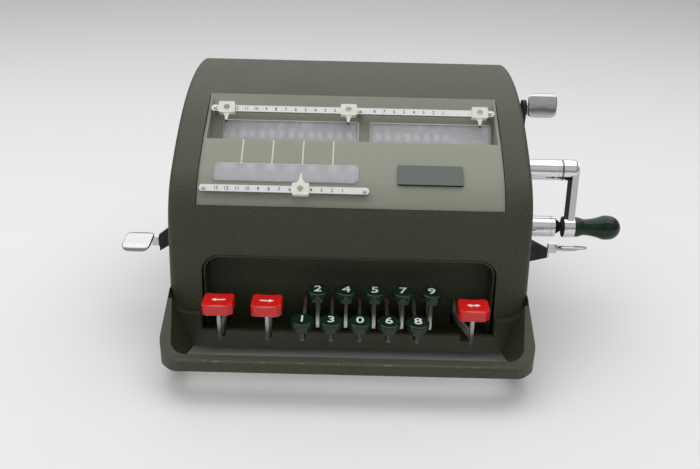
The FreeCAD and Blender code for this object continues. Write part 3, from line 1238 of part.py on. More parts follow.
def build_drive():
    centre_line = "atan((crank_z - rotor_z) / (crank_y - rotor_y)) / 1deg"
    finish("drive_gear", toothed_wheel("drive_wheel", "shaft_radius", "crank_y", "crank_z",
                                       f"180 + {centre_line}"))
    finish("rotor_gear", toothed_wheel("rotor_wheel", "rotor_shaft_radius", "rotor_y", "rotor_z",
                                       f"{centre_line} + 180 / gear_teeth"))
    finish("rotor_shaft", rod("rotor_rod", "rotor_shaft_radius", "2 * frame_end_x",
                              "-frame_end_x", "rotor_y", "rotor_z"))
    bore = "rotor_shaft_radius + running_fit"
    start = "result_first_x - digit_pitch * result_places + digit_pitch / 2"
    body = turned("drum_hub", [
        (start, bore), (start, "rotor_shaft_radius * 2"),
        ("result_first_x + digit_pitch / 2", "rotor_shaft_radius * 2"), ("result_first_x + digit_pitch / 2", bore),
    ], 0, "rotor_y", "rotor_z")
    discs = [turned(f"drum_disc_{index}", [
        ("-disc_width / 2", bore), ("-disc_width / 2", "disc_radius"),
        ("disc_width / 2", "disc_radius"), ("disc_width / 2", bore),
    ], f"result_first_x - digit_pitch * {index}", "rotor_y", "rotor_z")
             for index in range(int(number("result_places")))]
    finish("setting_drum", fuse("drum", body, *discs))


def numeral_wheels(name, first_x, places):
    bore = "axle_radius + running_fit"
    return group(name, [turned(f"{name}_{index}", [
        ("-wheel_width / 2", bore), ("-wheel_width / 2", "wheel_radius"),
        ("wheel_width / 2", "wheel_radius"), ("wheel_width / 2", bore),
    ], f"{first_x} - digit_pitch * {index}", *NUMERAL_AXIS) for index in range(int(number(places)))])


def build_register():
    finish("numeral_axle", rod("numeral_rod", "axle_radius", "2 * frame_end_x",
                               "-frame_end_x", *NUMERAL_AXIS))
    finish("result_wheels", numeral_wheels("result_wheel", "result_first_x", "result_places"))
    finish("counter_wheels", numeral_wheels("counter_wheel", "counter_first_x", "counter_places"))


def check_and_write():
    """Refuse a failed object or a bad shape, then write one file for each sub-part."""
    doc.recompute()
    for item in doc.Objects:
        if "Invalid" in item.State or "Error" in item.State:
            raise RuntimeError(f"{item.Name} failed: {item.State}")
    for item in finished:
        if item.Shape.isNull() or not item.Shape.isValid() or not item.Shape.Solids:
            raise RuntimeError(f"{item.Label} has no valid solid")
    os.makedirs("parts", exist_ok=True)
    for item in finished:
        item.Shape.exportStep(f"parts/{item.Label}.step")


fill_sheet()
build_base()
build_floor()
build_cover()
build_window_panel()
build_windows()
build_rails()
build_pointers()
build_tray()
build_digit_keys()
build_function_keys()
build_key_mechanism()
build_crank()
build_clearing_levers()
build_frame()
build_drive()
build_register()
check_and_write()
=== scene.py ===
"""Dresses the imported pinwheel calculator: paint, chrome, windows, numerals, keys and the stage round it.

Lengths are in metres. Places on the machine are given in millimetres from the middle plane of its
casing, and machine_point() moves them into the frame of the whole.
"""
import functools
import json
import math

import bpy
import numpy as np
from mathutils import Matrix, Vector

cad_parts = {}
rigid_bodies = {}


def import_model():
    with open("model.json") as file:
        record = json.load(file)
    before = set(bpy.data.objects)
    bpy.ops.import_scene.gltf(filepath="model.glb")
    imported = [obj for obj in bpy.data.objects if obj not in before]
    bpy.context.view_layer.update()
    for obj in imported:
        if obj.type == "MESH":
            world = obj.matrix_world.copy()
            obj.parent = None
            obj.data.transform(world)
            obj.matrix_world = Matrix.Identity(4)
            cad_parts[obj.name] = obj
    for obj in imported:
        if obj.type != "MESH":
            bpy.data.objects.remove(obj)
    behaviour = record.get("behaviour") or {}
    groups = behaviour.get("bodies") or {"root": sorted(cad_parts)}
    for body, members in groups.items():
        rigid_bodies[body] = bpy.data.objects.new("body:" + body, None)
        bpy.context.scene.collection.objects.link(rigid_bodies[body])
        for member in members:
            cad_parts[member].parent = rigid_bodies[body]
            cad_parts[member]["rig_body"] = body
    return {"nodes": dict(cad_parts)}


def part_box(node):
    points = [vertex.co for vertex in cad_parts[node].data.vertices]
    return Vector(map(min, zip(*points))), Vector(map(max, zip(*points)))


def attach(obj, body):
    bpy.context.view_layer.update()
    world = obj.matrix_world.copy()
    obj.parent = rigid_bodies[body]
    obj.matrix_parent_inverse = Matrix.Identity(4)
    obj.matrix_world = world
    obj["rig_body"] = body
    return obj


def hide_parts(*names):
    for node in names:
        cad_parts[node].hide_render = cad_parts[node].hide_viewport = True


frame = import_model()

bl_info = {
    "name": "Pinwheel calculator",
    "version": (1, 0, 0),
    "blender": (4, 5, 0),
    "location": "View3D > Sidebar > Calculator",
    "description": "Finishes and small parts of a ten-key pinwheel calculator",
    "category": "Object",
}

MM = 0.001
CASING_LOW, CASING_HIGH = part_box("cover")
BACK_OF_CASING = 113.4496
ORIGIN = np.array([(CASING_LOW.x + CASING_HIGH.x) / 2, CASING_HIGH.y - BACK_OF_CASING * MM, 0.0])

# Casing: half its width, the screws in its sides as (side, y), and the upper front edge (y, z) of the
# carrying bar.
BODY_HALF = 118.0
COVER_SCREWS = [(side, y) for side in (-1, 1) for y in (-50.0, 92.0)]
COVER_SCREW_Z = 58.0
COVER_SCREW_RADIUS, COVER_SCREW_RISE = 4.1, 2.2
BAR_EDGE = (-120.2, 26.0)

# Side view of the window panel, from its foot up: a tight bend, a long shallow one as far as a ledge, and
# the recess behind that. A bend is its centre (y, z) and its radius. Slopes are in degrees from the level:
# where the bends meet, of the recess floor and of the lower window.
BROW = (-11.64, 80.07, 50.7)
SLOPE = (128.26, -112.47, 288.7)
BROW_END = 36.0
LEDGE = (-4.0, 127.5)
RECESS_SLOPE = 51.4
SETTING_SLOPE = 36.64

# Painted lines: places along X, slopes of the panel at their two ends, and how far they stand out.
LINE_PLACES = (-72.4, -52.3, -32.2, -12.3)
LINE_FOOT, LINE_TOP = 37.5, 30.85
LINE_RISE = 0.08

# Numeral wheels: spacing, how many, the rightmost of each row, their axis (y, z) and radius, how many
# degrees past the recess slope a digit is shown, the digits of a wheel and how deep the ink sits.
DIGIT_PITCH = 6.77
RESULT_PLACES, COUNTER_PLACES = 13, 8
RESULT_FIRST, COUNTER_FIRST = -1.9, 65.4
NUMERAL_AXIS = (11.275, 126.438)
WHEEL_RADIUS = 9.5
SHOWN_AT = 2.0
DIGITS_ROUND = 10
INK_SUNK = 0.04

# Rails: how far the upper one lies up the recess, how high both stand off, and their screws along X. A row
# of numbers is the place of its 1 and its pitch.
RAIL_THICKNESS = 2.0
UPPER_RAIL_UP, UPPER_RAIL_LIFT = 22.6, 5.3
LOWER_RAIL_SLOPE, LOWER_RAIL_LIFT = 51.5, 2.0
UPPER_SCREWS, LOWER_SCREWS = (-94.4, 5, 94.4), (-94.6, 8.7)
RAIL_SCREW_RADIUS, RAIL_SCREW_RISE = 1.45, 0.65
LEFT_NUMBERS, RIGHT_NUMBERS = (-5.5, 6.76), (62.1, 6.74)
# black points of the upper pointers end this far up the recess
POINTER_TIP_UP = 13.6

# Keys: places along X in each row, and the caps. The top of a red cap is a trough of radius RED_DISH that
# dips by RED_DIP.
FRONT_ROW = {"1": -29.6, "3": -10.9, "0": 7.8, "6": 26.5, "8": 45.2}
BACK_ROW = {"2": -20.25, "4": -1.55, "5": 17.15, "7": 35.85, "9": 54.55}
FRONT_ROW_Y, BACK_ROW_Y = -87.0, -70.0
CAP_HEIGHT, CAP_DOME = 7.5, 0.4
RED_KEYS = {
    "shift_left_key": (-83.0, "left"),
    "shift_right_key": (-52.0, "right"),
    "tabulator_key": (80.0, "both"),
}
RED_Y, RED_TOP, RED_HEIGHT = -87.0, 51.0, 7.4
RED_DISH, RED_DIP = 45.0, 0.9

# Ferrules: radius on each form of key, heights of the top, the rim's edge and the end from the cap's foot.
CAP_FERRULE, RED_FERRULE = 3.8, 3.6
FERRULE_LEVELS = (0.2, -0.5, -2.1)
FERRULE_BORE, FERRULE_TAPER = 0.4, 1.7

# Crank: axis (y, z) and the brass ring at the end of its bush.
CRANK = (7.1, 109.1)
BUSH_END = 149.1
RING_BORE, RING_RADIUS, RING_WIDTH = 6.0, 7.25, 0.4


def machine_point(x, y, z):
    """Point given in millimetres from the casing's middle plane, in the frame of the whole."""
    return ORIGIN + np.stack(np.broadcast_arrays(np.asarray(x, float), y, z), -1) * MM


def on_arc(arc, heading):
    """Point (y - r * sin, z + r * cos) of a bend, where its surface leans back by heading degrees."""
    y, z, radius = arc
    turn = np.radians(heading)
    return y - radius * np.sin(turn), z + radius * np.cos(turn)


def on_slope(start, slope, along, lift):
    """Point (y, z) from a start on a face that leans back: along * (cos, sin) + lift * (-sin, cos)."""
    turn = math.radians(slope)
    return (start[0] + along * math.cos(turn) - lift * math.sin(turn),
            start[1] + along * math.sin(turn) + lift * math.cos(turn))


def up_slope(slope, y, z):
    """How far a place lies in the direction up a slope: y * cos + z * sin."""
    turn = math.radians(slope)
    return y * math.cos(turn) + z * math.sin(turn)


# Meshes --------------------

def linked(name, data):
    """New object of that data in the scene."""
    item = bpy.data.objects.new(name, data)
    bpy.context.scene.collection.objects.link(item)
    return item


class Shape:
    """Points and faces that are gathered into one mesh."""

    def __init__(self):
        self.points, self.faces, self.count = [], [], 0

    def add(self, points, faces):
        """Take in points, and faces that count from the first of them."""
        points = np.asarray(points, float).reshape(-1, 3)
        self.points.append(points)
        self.faces += [tuple(int(corner) + self.count for corner in face) for face in faces]
        self.count += len(points)
        return self

    def grid(self, points, wrap_u=False, wrap_v=False):
        """Take in quads over a grid of points: rows follow u, columns follow v, and either may close."""
        rows, columns = points.shape[:2]
        index = np.arange(rows * columns).reshape(rows, columns)
        if wrap_u:
            index = np.vstack([index, index[:1]])
        if wrap_v:
            index = np.hstack([index, index[:, :1]])
        quads = np.stack([index[:-1, :-1], index[:-1, 1:], index[1:, 1:], index[1:, :-1]], -1)
        return self.add(points, quads.reshape(-1, 4))

    def mesh(self, name, surface):
        """Mesh of all that was taken in, with one material."""
        mesh = bpy.data.meshes.new(name)
        mesh.from_pydata(np.vstack(self.points), [], self.faces)
        mesh.materials.append(surface)
        mesh.update()
        return mesh

    def build(self, name, finish, body, smooth=None, stands_for=()):
        """Make the mesh object, with one finish and riding on a body; edges flatter than smooth are soft."""
        mesh = self.mesh(name, material(finish))
        if smooth is not None:
            mesh.shade_smooth()
            mesh.set_sharp_from_angle(angle=math.radians(smooth))
        piece = linked(name, mesh)
        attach(piece, body)
        if stands_for:
            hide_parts(*stands_for)
        return piece


def places_in(mesh):
    """Places of a mesh's points, one to a row."""
    places = np.empty(len(mesh.vertices) * 3)
    mesh.vertices.foreach_get("co", places)
    return places.reshape(-1, 3)


def merged(node):
    """Points and triangles of a carried-over piece, joined at its corners."""
    source = frame["nodes"][node].data
    points = places_in(source)
    corners = np.empty(len(source.loops), int)
    source.loops.foreach_get("vertex_index", corners)
    _, first, joined = np.unique(np.round(points, 6), axis=0, return_index=True, return_inverse=True)
    faces = joined.reshape(-1)[corners].reshape(-1, 3)
    kept = (faces[:, 0] != faces[:, 1]) & (faces[:, 1] != faces[:, 2]) & (faces[:, 2] != faces[:, 0])
    return points[first], faces[kept]


def skin(shape, node, finish, angle):
    """Build the softly shaded piece that stands for a carried-over one."""
    body = frame["nodes"][node]["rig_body"]
    piece = shape.build(node + "_skin", finish, body, smooth=angle, stands_for=(node,))
    piece.modifiers.new("even", "WEIGHTED_NORMAL").keep_sharp = True


def softened(nodes, finish, angle=30.0):
    """Merged copies of carried-over pieces, shaded soft across edges flatter than the angle."""
    for node in nodes:
        skin(Shape().add(*merged(node)), node, finish, angle)


def turned(profile, sides, centre, axis="X"):
    """Grid of a profile of (distance a along the axis, radius r) carried once round the axis through a point.

    Its points are (a, r * cos, r * sin) round X, or (r * cos, r * sin, a) round Z.
    """
    profile = np.asarray(profile, float)
    angles = np.linspace(0, 2 * math.pi, sides, endpoint=False)
    along = np.repeat(profile[:, :1], sides, 1)
    across, up = profile[:, 1:] * np.cos(angles), profile[:, 1:] * np.sin(angles)
    x, y, z = (along, across, up) if axis == "X" else (across, up, along)
    return machine_point(centre[0] + x, centre[1] + y, centre[2] + z)


def words(text, height, bold=0.0, wide=1.0, thickness=0.12):
    """Points and faces of a word as a thin solid, in millimetres: x along it, y up it, z out of it.

    It is centred along x and y and stands on z = 0. Its letters are wide times as wide as they are drawn,
    and bold swells their strokes.
    """
    curve = bpy.data.curves.new("words", "FONT")
    curve.body, curve.size, curve.offset = text, 1.0, bold
    curve.extrude, curve.resolution_u = 0.05, 3
    holder = linked("words", curve)
    bpy.context.view_layer.update()
    mesh = bpy.data.meshes.new_from_object(holder)
    points = places_in(mesh)
    faces = [tuple(face.vertices) for face in mesh.polygons]
    bpy.data.objects.remove(holder)
    bpy.data.curves.remove(curve)
    bpy.data.meshes.remove(mesh)
    low, high = points.min(0), points.max(0)
    points = (points - (low + high) / 2) * height / (high[1] - low[1])
    points[:, 0] *= wide
    span = points[:, 2].max()
    points[:, 2] = (points[:, 2] / span + 1) * thickness / 2
    return points, faces


def laid(points, x, middle, slope):
    """Points whose z is their lift, laid round x and the middle (y, z) of a face that leans back."""
    return machine_point(x + points[..., 0], *on_slope(middle, slope, points[..., 1], points[..., 2]))


# Finishes --------------------

def tint(red, green, blue):
    """Linear colour of one that is given as seen on a screen, 0 to 255."""
    seen = np.array([red, green, blue]) / 255
    linear = np.where(seen <= 0.04045, seen / 12.92, ((seen + 0.055) / 1.055) ** 2.4)
    return (*linear, 1.0)


def operation(name, swapped=False):
    """Method of a signal that adds a Math node with the signal as its first term or, swapped, its last."""
    def method(signal, *others):
        terms = (*others, signal) if swapped else (signal, *others)
        return signal.nodes.node("Math", {"operation": name}, dict(enumerate(terms)))
    return method


class Signal:
    """One output of a shader node; arithmetic on signals and numbers adds Math nodes."""

    def __init__(self, nodes, socket):
        self.nodes, self.socket = nodes, socket

    __add__ = __radd__ = operation("ADD")
    __sub__, __rsub__ = operation("SUBTRACT"), operation("SUBTRACT", swapped=True)
    __mul__ = __rmul__ = operation("MULTIPLY")
    __truediv__ = operation("DIVIDE")
    __gt__, __lt__ = operation("GREATER_THAN"), operation("LESS_THAN")
    size, sine = operation("ABSOLUTE"), operation("SINE")
    least, most = operation("MINIMUM"), operation("MAXIMUM")

    def rises(self, start, end):
        """0 below start, 1 above end, smooth between."""
        return self.nodes.node("MapRange", {"interpolation_type": "SMOOTHSTEP"},
                               {"Value": self, "From Min": start, "From Max": end})


class Nodes:
    """Node tree of a material or a world, emptied first."""

    def __init__(self, owner):
        owner.use_nodes = True
        self.tree = owner.node_tree
        self.tree.nodes.clear()

    def node(self, kind, settings=None, inputs=None, output=0):
        """Add a node: its settings first, a ramp's stops among them, then its sockets.

        It gives back one output, by number or name, where the node has any.
        """
        item = self.tree.nodes.new("ShaderNode" + kind)
        for name, value in (settings or {}).items():
            if name == "stops":
                ramp = item.color_ramp.elements
                while len(ramp) < len(value):
                    ramp.new(0.5)
                for stop, (place, colour) in zip(ramp, value):
                    stop.position, stop.color = place, colour
            else:
                setattr(item, name, value)
        for name, value in (inputs or {}).items():
            if isinstance(value, Signal):
                self.tree.links.new(value.socket, item.inputs[name])
            elif value is not None:
                item.inputs[name].default_value = value
        return Signal(self, item.outputs[output]) if len(item.outputs) else None


class Finish(Nodes):
    """Node tree of one material, with the place on the machine at hand."""

    def __init__(self, name):
        self.material = bpy.data.materials.new(name)
        super().__init__(self.material)
        self.spot = self.node("TexCoord", output="Object")
        # place on the machine, in millimetres from the casing's middle plane
        self.x, self.y, self.z = (
            (self.node("SeparateXYZ", inputs={0: self.spot}, output=axis) - start) / MM
            for axis, start in zip("XYZ", ORIGIN))

    def noise(self, grain, detail=2.0, roughness=0.5, stretch=None):
        """Noise whose lumps are about grain millimetres across."""
        spot = self.spot
        if stretch:
            spot = self.node("VectorMath", {"operation": "MULTIPLY"}, {0: spot, 1: stretch})
        return self.node("TexNoise", {"noise_dimensions": "3D"}, {
            "Vector": spot, "Scale": 1 / (grain * MM), "Detail": detail, "Roughness": roughness})

    def mix(self, amount, plain, marked):
        """Blend of two colours; a Mix node's colour sockets are 6 and 7, and its colour output is 2."""
        return self.node("Mix", {"data_type": "RGBA"}, {0: amount, 6: plain, 7: marked}, output=2)

    def facing(self, axis):
        """How far the surface faces along an axis, -1 to 1."""
        return self.node("SeparateXYZ", inputs={0: self.node("NewGeometry", output="Normal")}, output=axis)

    def bump(self, height, depth, strength=1.0):
        """Normal of a surface whose relief is depth millimetres."""
        return self.node("Bump", inputs={"Height": height, "Distance": depth * MM, "Strength": strength},
                         output="Normal")

    def surface(self, **sockets):
        """Close the material with one Principled shader."""
        names = {name: name.replace("_", " ").title().replace("Ior", "IOR") for name in sockets}
        shader = self.node("BsdfPrincipled", inputs={names[name]: value for name, value in sockets.items()})
        self.node("OutputMaterial", inputs={"Surface": shader})
        return self.material


def grey(level):
    """Linear grey from 0, black, to 1, white."""
    return (level, level, level, 1.0)


def shade(colour, factor):
    """The same colour, lighter or darker."""
    return (*(factor * part for part in tuple(colour)[:3]), 1.0)


def crinkle_paint(finish, looks):
    """Dark crinkle enamel, slightly uneven and paler in patches along the carrying bar's edge."""
    wrinkles = finish.noise(0.9, 3, 0.65)
    lumps = finish.noise(1.9, 2)
    patches = finish.noise(38, 2)
    edge = (BAR_EDGE[0] - finish.y).rises(0.0, 0.5) * (finish.z - BAR_EDGE[1]).rises(0.0, 0.4)
    # paler in patches along the bar's upper front edge
    edge_patches = edge * finish.noise(7, 4, 0.7).rises(0.52, 0.60)
    colour = finish.mix(wrinkles.rises(0.32, 0.68), shade(looks.casing, 0.4), shade(looks.casing, 1.55))
    colour = finish.mix(patches.rises(0.3, 0.75) * 0.4, colour, shade(looks.casing, 1.3))
    colour = finish.mix(edge_patches * 0.7, colour, tint(150, 150, 134))
    return finish.surface(
        base_color=colour, roughness=0.42 + wrinkles * 0.2, specular_ior_level=0.7,
        normal=finish.bump(wrinkles * 0.8 + lumps * 0.4, 0.7, 0.8))


def panel_paint(finish, looks):
    """Pale satin enamel with a fine orange-peel skin."""
    peel = finish.noise(0.7, 3, 0.6)
    patches = finish.noise(45, 2)
    colour = finish.mix(patches.rises(0.3, 0.8) * 0.5, looks.panel, shade(looks.panel, 0.9))
    colour = finish.mix(peel.rises(0.35, 0.7) * 0.5, colour, shade(looks.panel, 1.22))
    return finish.surface(base_color=colour, roughness=0.50 + peel * 0.1, normal=finish.bump(peel, 0.2, 0.6))


def plated(finish, black=0.0, level=0.76):
    """Bright plating with faint haze and small pits; black where the second argument is 1, a painted shade.
    """
    haze = finish.noise(9, 4, 0.6)
    pits = finish.noise(1.1, 2, 0.5).rises(0.70, 0.76)
    bright, hazed = (level, level, level * 1.03, 1), grey(level * 0.8)
    colour = finish.mix(haze.rises(0.55, 0.85) * 0.35, bright, hazed)
    colour = finish.mix(pits * 0.8, colour, (0.12, 0.09, 0.06, 1))
    # painted shade: black over the plating
    colour = finish.mix(black, colour, grey(0.01))
    return finish.surface(base_color=colour, metallic=(1 - pits * 0.7) * (1 - black),
                          roughness=0.07 + haze.rises(0.5, 0.8) * 0.10 + 0.55 * black)


def chrome(finish, looks):
    """Bright plating all over."""
    return plated(finish)


def crank_chrome(finish, looks):
    """Plated arm whose inner face, towards the casing, is black: a painted shade."""
    return plated(finish, (-0.8 - finish.facing("X")).rises(0, 0.1))


# distances off the casing where the black of an arm, a painted shade, ends, how much earlier it ends on the
# lever that is above a height, and where the bright edges of the left arm end, left as plating inside that
# painted shade
ARM_OUT, UPPER_ARM_SHORTER, UPPER_LEVER_Z = 16.8, 9.8, 130.0
LEFT_EDGES_OUT = 8.0


def lever_chrome(finish, looks):
    """Lever with a plated tab and a black arm, the black a painted shade; the left arm has bright edges near
    the casing.

    Its plating is dimmer than the rest, a painted shade too.
    """
    left = finish.x < 0
    off_casing = finish.x.size() - BODY_HALF
    out = (off_casing - ARM_OUT + (finish.z > UPPER_LEVER_Z) * UPPER_ARM_SHORTER).rises(0, 0.3)
    flat = finish.facing("X").size().rises(0.8, 0.9).most(1 - left)
    behind = (LEFT_EDGES_OUT - off_casing).rises(0, 0.3)
    # painted shade: black over the arm, and the plating dimmed to 0.52
    return plated(finish, (1 - out) * flat.most(1 - behind), 0.52)


def steel(finish, looks):
    """Plain worked steel with fine scratches."""
    scratches = finish.noise(0.4, 2, 0.5, (1, 0.08, 1))
    stains = finish.noise(6, 3, 0.6)
    colour = finish.mix(stains.rises(0.5, 0.8) * 0.6, (0.42, 0.41, 0.39, 1), (0.17, 0.13, 0.09, 1))
    return finish.surface(base_color=colour, metallic=0.92, roughness=0.26 + scratches * 0.2)


# how far behind the middle of its row a cap and the stem, with its painted shade and highlight, end
CAP_BACK, STEM_BACK = 10.5, 4.0


def key_and_cap(finish, colour_of_cap, foot, row_y, cap_roughness, highlight_height, crescent_highlight=0.0):
    """Coloured cap above its foot, paler in a painted highlight where the crescent argument is 1; browned
    steel lever below and behind it.

    The stem of the lever, in front, is dark grey as painted shade, with a painted highlight brightest at the
    given height.
    """
    cap = (finish.z > foot) * (finish.y < row_y + CAP_BACK)
    speck = finish.noise(0.6, 2)
    stains = finish.noise(5, 3)
    stem = (row_y + STEM_BACK - finish.y).rises(0, 1)
    browned = finish.mix(stains.rises(0.35, 0.75), (0.52, 0.48, 0.44, 1), (0.34, 0.26, 0.20, 1))
    # painted highlight on the stem round its height, over a painted shade of dark grey
    bright = 1 - (finish.z - highlight_height).size().rises(2.5, 13)
    bare = finish.mix(stem, browned, finish.mix(bright, (0.10, 0.10, 0.11, 1), grey(0.95)))
    dust_and_highlight = finish.mix(speck.rises(0.60, 0.72) * 0.10, colour_of_cap, (0.35, 0.35, 0.33, 1))
    # painted highlight: the lighter crescent of a red cap
    dust_and_highlight = finish.mix(crescent_highlight * 0.30, dust_and_highlight, (0.90, 0.60, 0.56, 1))
    return finish.surface(
        base_color=finish.mix(cap, bare, dust_and_highlight), metallic=(1 - cap) * 0.6,
        roughness=0.3 - cap * (0.3 - cap_roughness) + speck * 0.03,
        coat_weight=cap * 0.3, coat_roughness=0.06)


def cream_plastic(finish, looks, tip=0.0):
    """Cream moulding, black where tip is 1."""
    cloud = finish.noise(2.5, 3)
    colour = finish.mix(cloud.rises(0.45, 0.8) * 0.5, looks.pointer, shade(looks.pointer, 0.8))
    colour = finish.mix(tip, colour, grey(0.01))
    return finish.surface(base_color=colour, roughness=0.34 + cloud * 0.1)


def upper_cream(finish, looks):
    """Pointer of the upper rail, whose point hangs down and is black."""
    up = up_slope(RECESS_SLOPE, finish.y - LEDGE[0], finish.z - LEDGE[1])
    return cream_plastic(finish, looks, (POINTER_TIP_UP - up).rises(0, 0.3))


def lower_cream(finish, looks):
    """Pointer of the lower rail, whose point stands up and is plain."""
    return cream_plastic(finish, looks)


def hazed_plate(finish, looks, node, slope, veil, columns, level):
    """Hazed plate that leans back by slope: whitish bevelled rim, fine groove inside it, yellowed left end.

    veil is how much it hides, and level is painted light that sets how bright it is drawn. Where columns is 1
    it is paler over every second wheel, as 0.5 + 0.5 * sin(pi * x / pitch) with x from the first one, and
    where it is 0 in streaks; either way this paleness is a painted reflection on the upper part of the plate.
    """
    corners = places_in(frame["nodes"][node].data) - ORIGIN
    x, up = corners[:, 0] / MM, up_slope(slope, corners[:, 1], corners[:, 2]) / MM
    rise = up_slope(slope, finish.y, finish.z)
    sideways = (finish.x - x.min()).least(x.max() - finish.x)
    margin = sideways.least((rise - up.min()).least(up.max() - rise))
    rim = 1 - margin.rises(0.7, 1.3)
    left_end = 1 - (finish.x - x.min()).rises(0.5, 1.4)
    haze = finish.noise(6, 3, 0.6)
    streaks = finish.noise(9, 2, 0.5, (1, 0.1, 0.1)).rises(0.45, 0.75)
    wave = ((finish.x - RESULT_FIRST) * (math.pi / DIGIT_PITCH)).sine() * 0.5 + 0.5
    upper_part = (rise - up.min()).rises(0.3 * np.ptp(up), 0.9 * np.ptp(up))
    # painted reflection: paler streaks, or paler columns over every second wheel, on the upper part
    painted_reflection = (streaks * (1 - columns) + wave * columns) * upper_part
    # painted light: the plate's colour scaled by level
    plain = shade(looks.window, level)
    colour = finish.mix(haze.rises(0.35, 0.75) * 0.25 + painted_reflection * 0.55, plain, shade(plain, 1.3))
    groove = 1 - (margin - 1.5).size().rises(0.1, 0.35)
    colour = finish.mix(rim * 0.75, colour, tint(214, 215, 216))
    colour = finish.mix(groove * 0.3, colour, tint(110, 112, 116))
    colour = finish.mix(left_end * 0.6, colour, tint(176, 150, 112))
    return finish.surface(base_color=colour, roughness=0.26 + haze * 0.12,
                          alpha=(veil + haze * 0.04 + painted_reflection * 0.06).most(rim * 0.92),
                          coat_weight=0.25, coat_roughness=0.12)


def result_plate(finish, looks):
    """Plate over the result wheels, which show through it."""
    return hazed_plate(finish, looks, "result_window", RECESS_SLOPE, veil=0.30, columns=0, level=1.52)


def counter_plate(finish, looks):
    """Plate over the counter wheels, drawn a little brighter as painted light."""
    return hazed_plate(finish, looks, "counter_window", RECESS_SLOPE, veil=0.30, columns=0, level=1.62)


def setting_plate(finish, looks):
    """Plate over the setting numerals, milkier than the others."""
    return hazed_plate(finish, looks, "setting_window", SETTING_SLOPE, veil=0.74, columns=1, level=0.72)


def wheel_plastic(finish, looks):
    """Dark grey of the numeral wheels, faintly grained."""
    grain = finish.noise(1.5, 2)
    colour = finish.mix(grain.rises(0.3, 0.7), (0.15, 0.15, 0.16, 1), (0.19, 0.19, 0.20, 1))
    return finish.surface(base_color=colour, roughness=0.5 + grain * 0.1)


def white_ink(finish, looks):
    """White filling of engraved numerals."""
    wear = finish.noise(0.8, 2)
    colour = finish.mix(wear.rises(0.6, 0.8) * 0.4, (0.95, 0.95, 0.92, 1), (0.70, 0.70, 0.66, 1))
    return finish.surface(base_color=colour, roughness=0.45 + wear * 0.1)


def black_ink(finish, looks):
    """Black filling of engraved numerals."""
    wear = finish.noise(0.5, 2)
    colour = finish.mix(wear.rises(0.55, 0.75) * 0.4, grey(0.012), grey(0.12))
    return finish.surface(base_color=colour, roughness=0.5 + wear * 0.1)


def line_paint(finish, looks):
    """Cream painted lines, a little broken."""
    wear = finish.noise(1.2, 3)
    colour = finish.mix(wear.rises(0.55, 0.75) * 0.6, tint(222, 212, 188), tint(176, 170, 146))
    return finish.surface(base_color=colour, roughness=0.5 + wear * 0.1)


def rail_metal(finish, looks):
    """White-plated rail: satin face with some grime; its edges and sides darker as painted shade."""
    brushed = finish.noise(0.5, 2, 0.5, (0.05, 1, 1))
    grime = finish.noise(3, 3)
    face = finish.facing("Z").rises(0.4, 0.6)
    colour = finish.mix(grime.rises(0.5, 0.8) * 0.35, grey(0.92), (0.66, 0.66, 0.65, 1))
    # painted shade: dark grey where the surface does not face up
    colour = finish.mix(face, grey(0.22), colour)
    return finish.surface(base_color=colour, metallic=0.25, roughness=0.30 + brushed * 0.14)


def badge_enamel(finish, looks):
    """Bare plate: grey-green face with dark edges."""
    grain = finish.noise(0.8, 2)
    face = finish.facing("Z").rises(0.6, 0.7)
    colour = finish.mix(face, (0.006, 0.010, 0.008, 1), tint(92, 98, 91))
    return finish.surface(base_color=colour, roughness=0.30 + grain * 0.08,
                          normal=finish.bump(grain, 0.03, 0.4))


def handle_plastic(finish, looks):
    """Polished dark green moulding."""
    swirl = finish.noise(9, 4, 0.6)
    colour = finish.mix(swirl.rises(0.4, 0.75), looks.handle, shade(looks.handle, 0.6))
    return finish.surface(base_color=colour, roughness=0.14 + swirl * 0.06, specular_ior_level=0.35)


def rubber(finish, looks):
    """Black rubber with a dull grain."""
    grain = finish.noise(0.7, 2)
    colour = finish.mix(grain, grey(0.018), (0.040, 0.040, 0.038, 1))
    return finish.surface(base_color=colour, roughness=0.72 + grain * 0.12,
                          normal=finish.bump(grain, 0.15, 0.5))


def brass(finish, looks):
    """Tarnished brass."""
    tarnish = finish.noise(3, 3)
    colour = finish.mix(tarnish.rises(0.35, 0.75), (0.60, 0.44, 0.18, 1), (0.22, 0.13, 0.05, 1))
    return finish.surface(base_color=colour, metallic=0.95, roughness=0.28 + tarnish * 0.2)


def front_of(node):
    """Place of a sub-part's front end, in millimetres."""
    return (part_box(node)[0].y - ORIGIN[1]) / MM


def top_of(node):
    """Height of a sub-part's top over the table, in millimetres."""
    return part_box(node)[1].z / MM


# a cap's colour starts this far above its foot
FOOT_SLACK = 0.05


def cap_foot(node, height):
    """Height over the table where the colour of a key's cap starts, in millimetres."""
    return top_of(node) - height + FOOT_SLACK


def front_digit_cap(finish, looks):
    """Round key of the front row."""
    foot = cap_foot("digit_key_0", CAP_HEIGHT + CAP_DOME)
    return key_and_cap(finish, looks.digit_cap, foot, FRONT_ROW_Y, cap_roughness=0.16, highlight_height=12)


def back_digit_cap(finish, looks):
    """Round key of the back row."""
    foot = cap_foot("digit_key_5", CAP_HEIGHT + CAP_DOME)
    return key_and_cap(finish, looks.digit_cap, foot, BACK_ROW_Y, cap_roughness=0.16, highlight_height=22)


# depth of the crescent, a painted highlight, in the middle of a red cap, and how fast it narrows to its sides
CRESCENT_DEPTH, CRESCENT_BEND = 1.9, 0.030


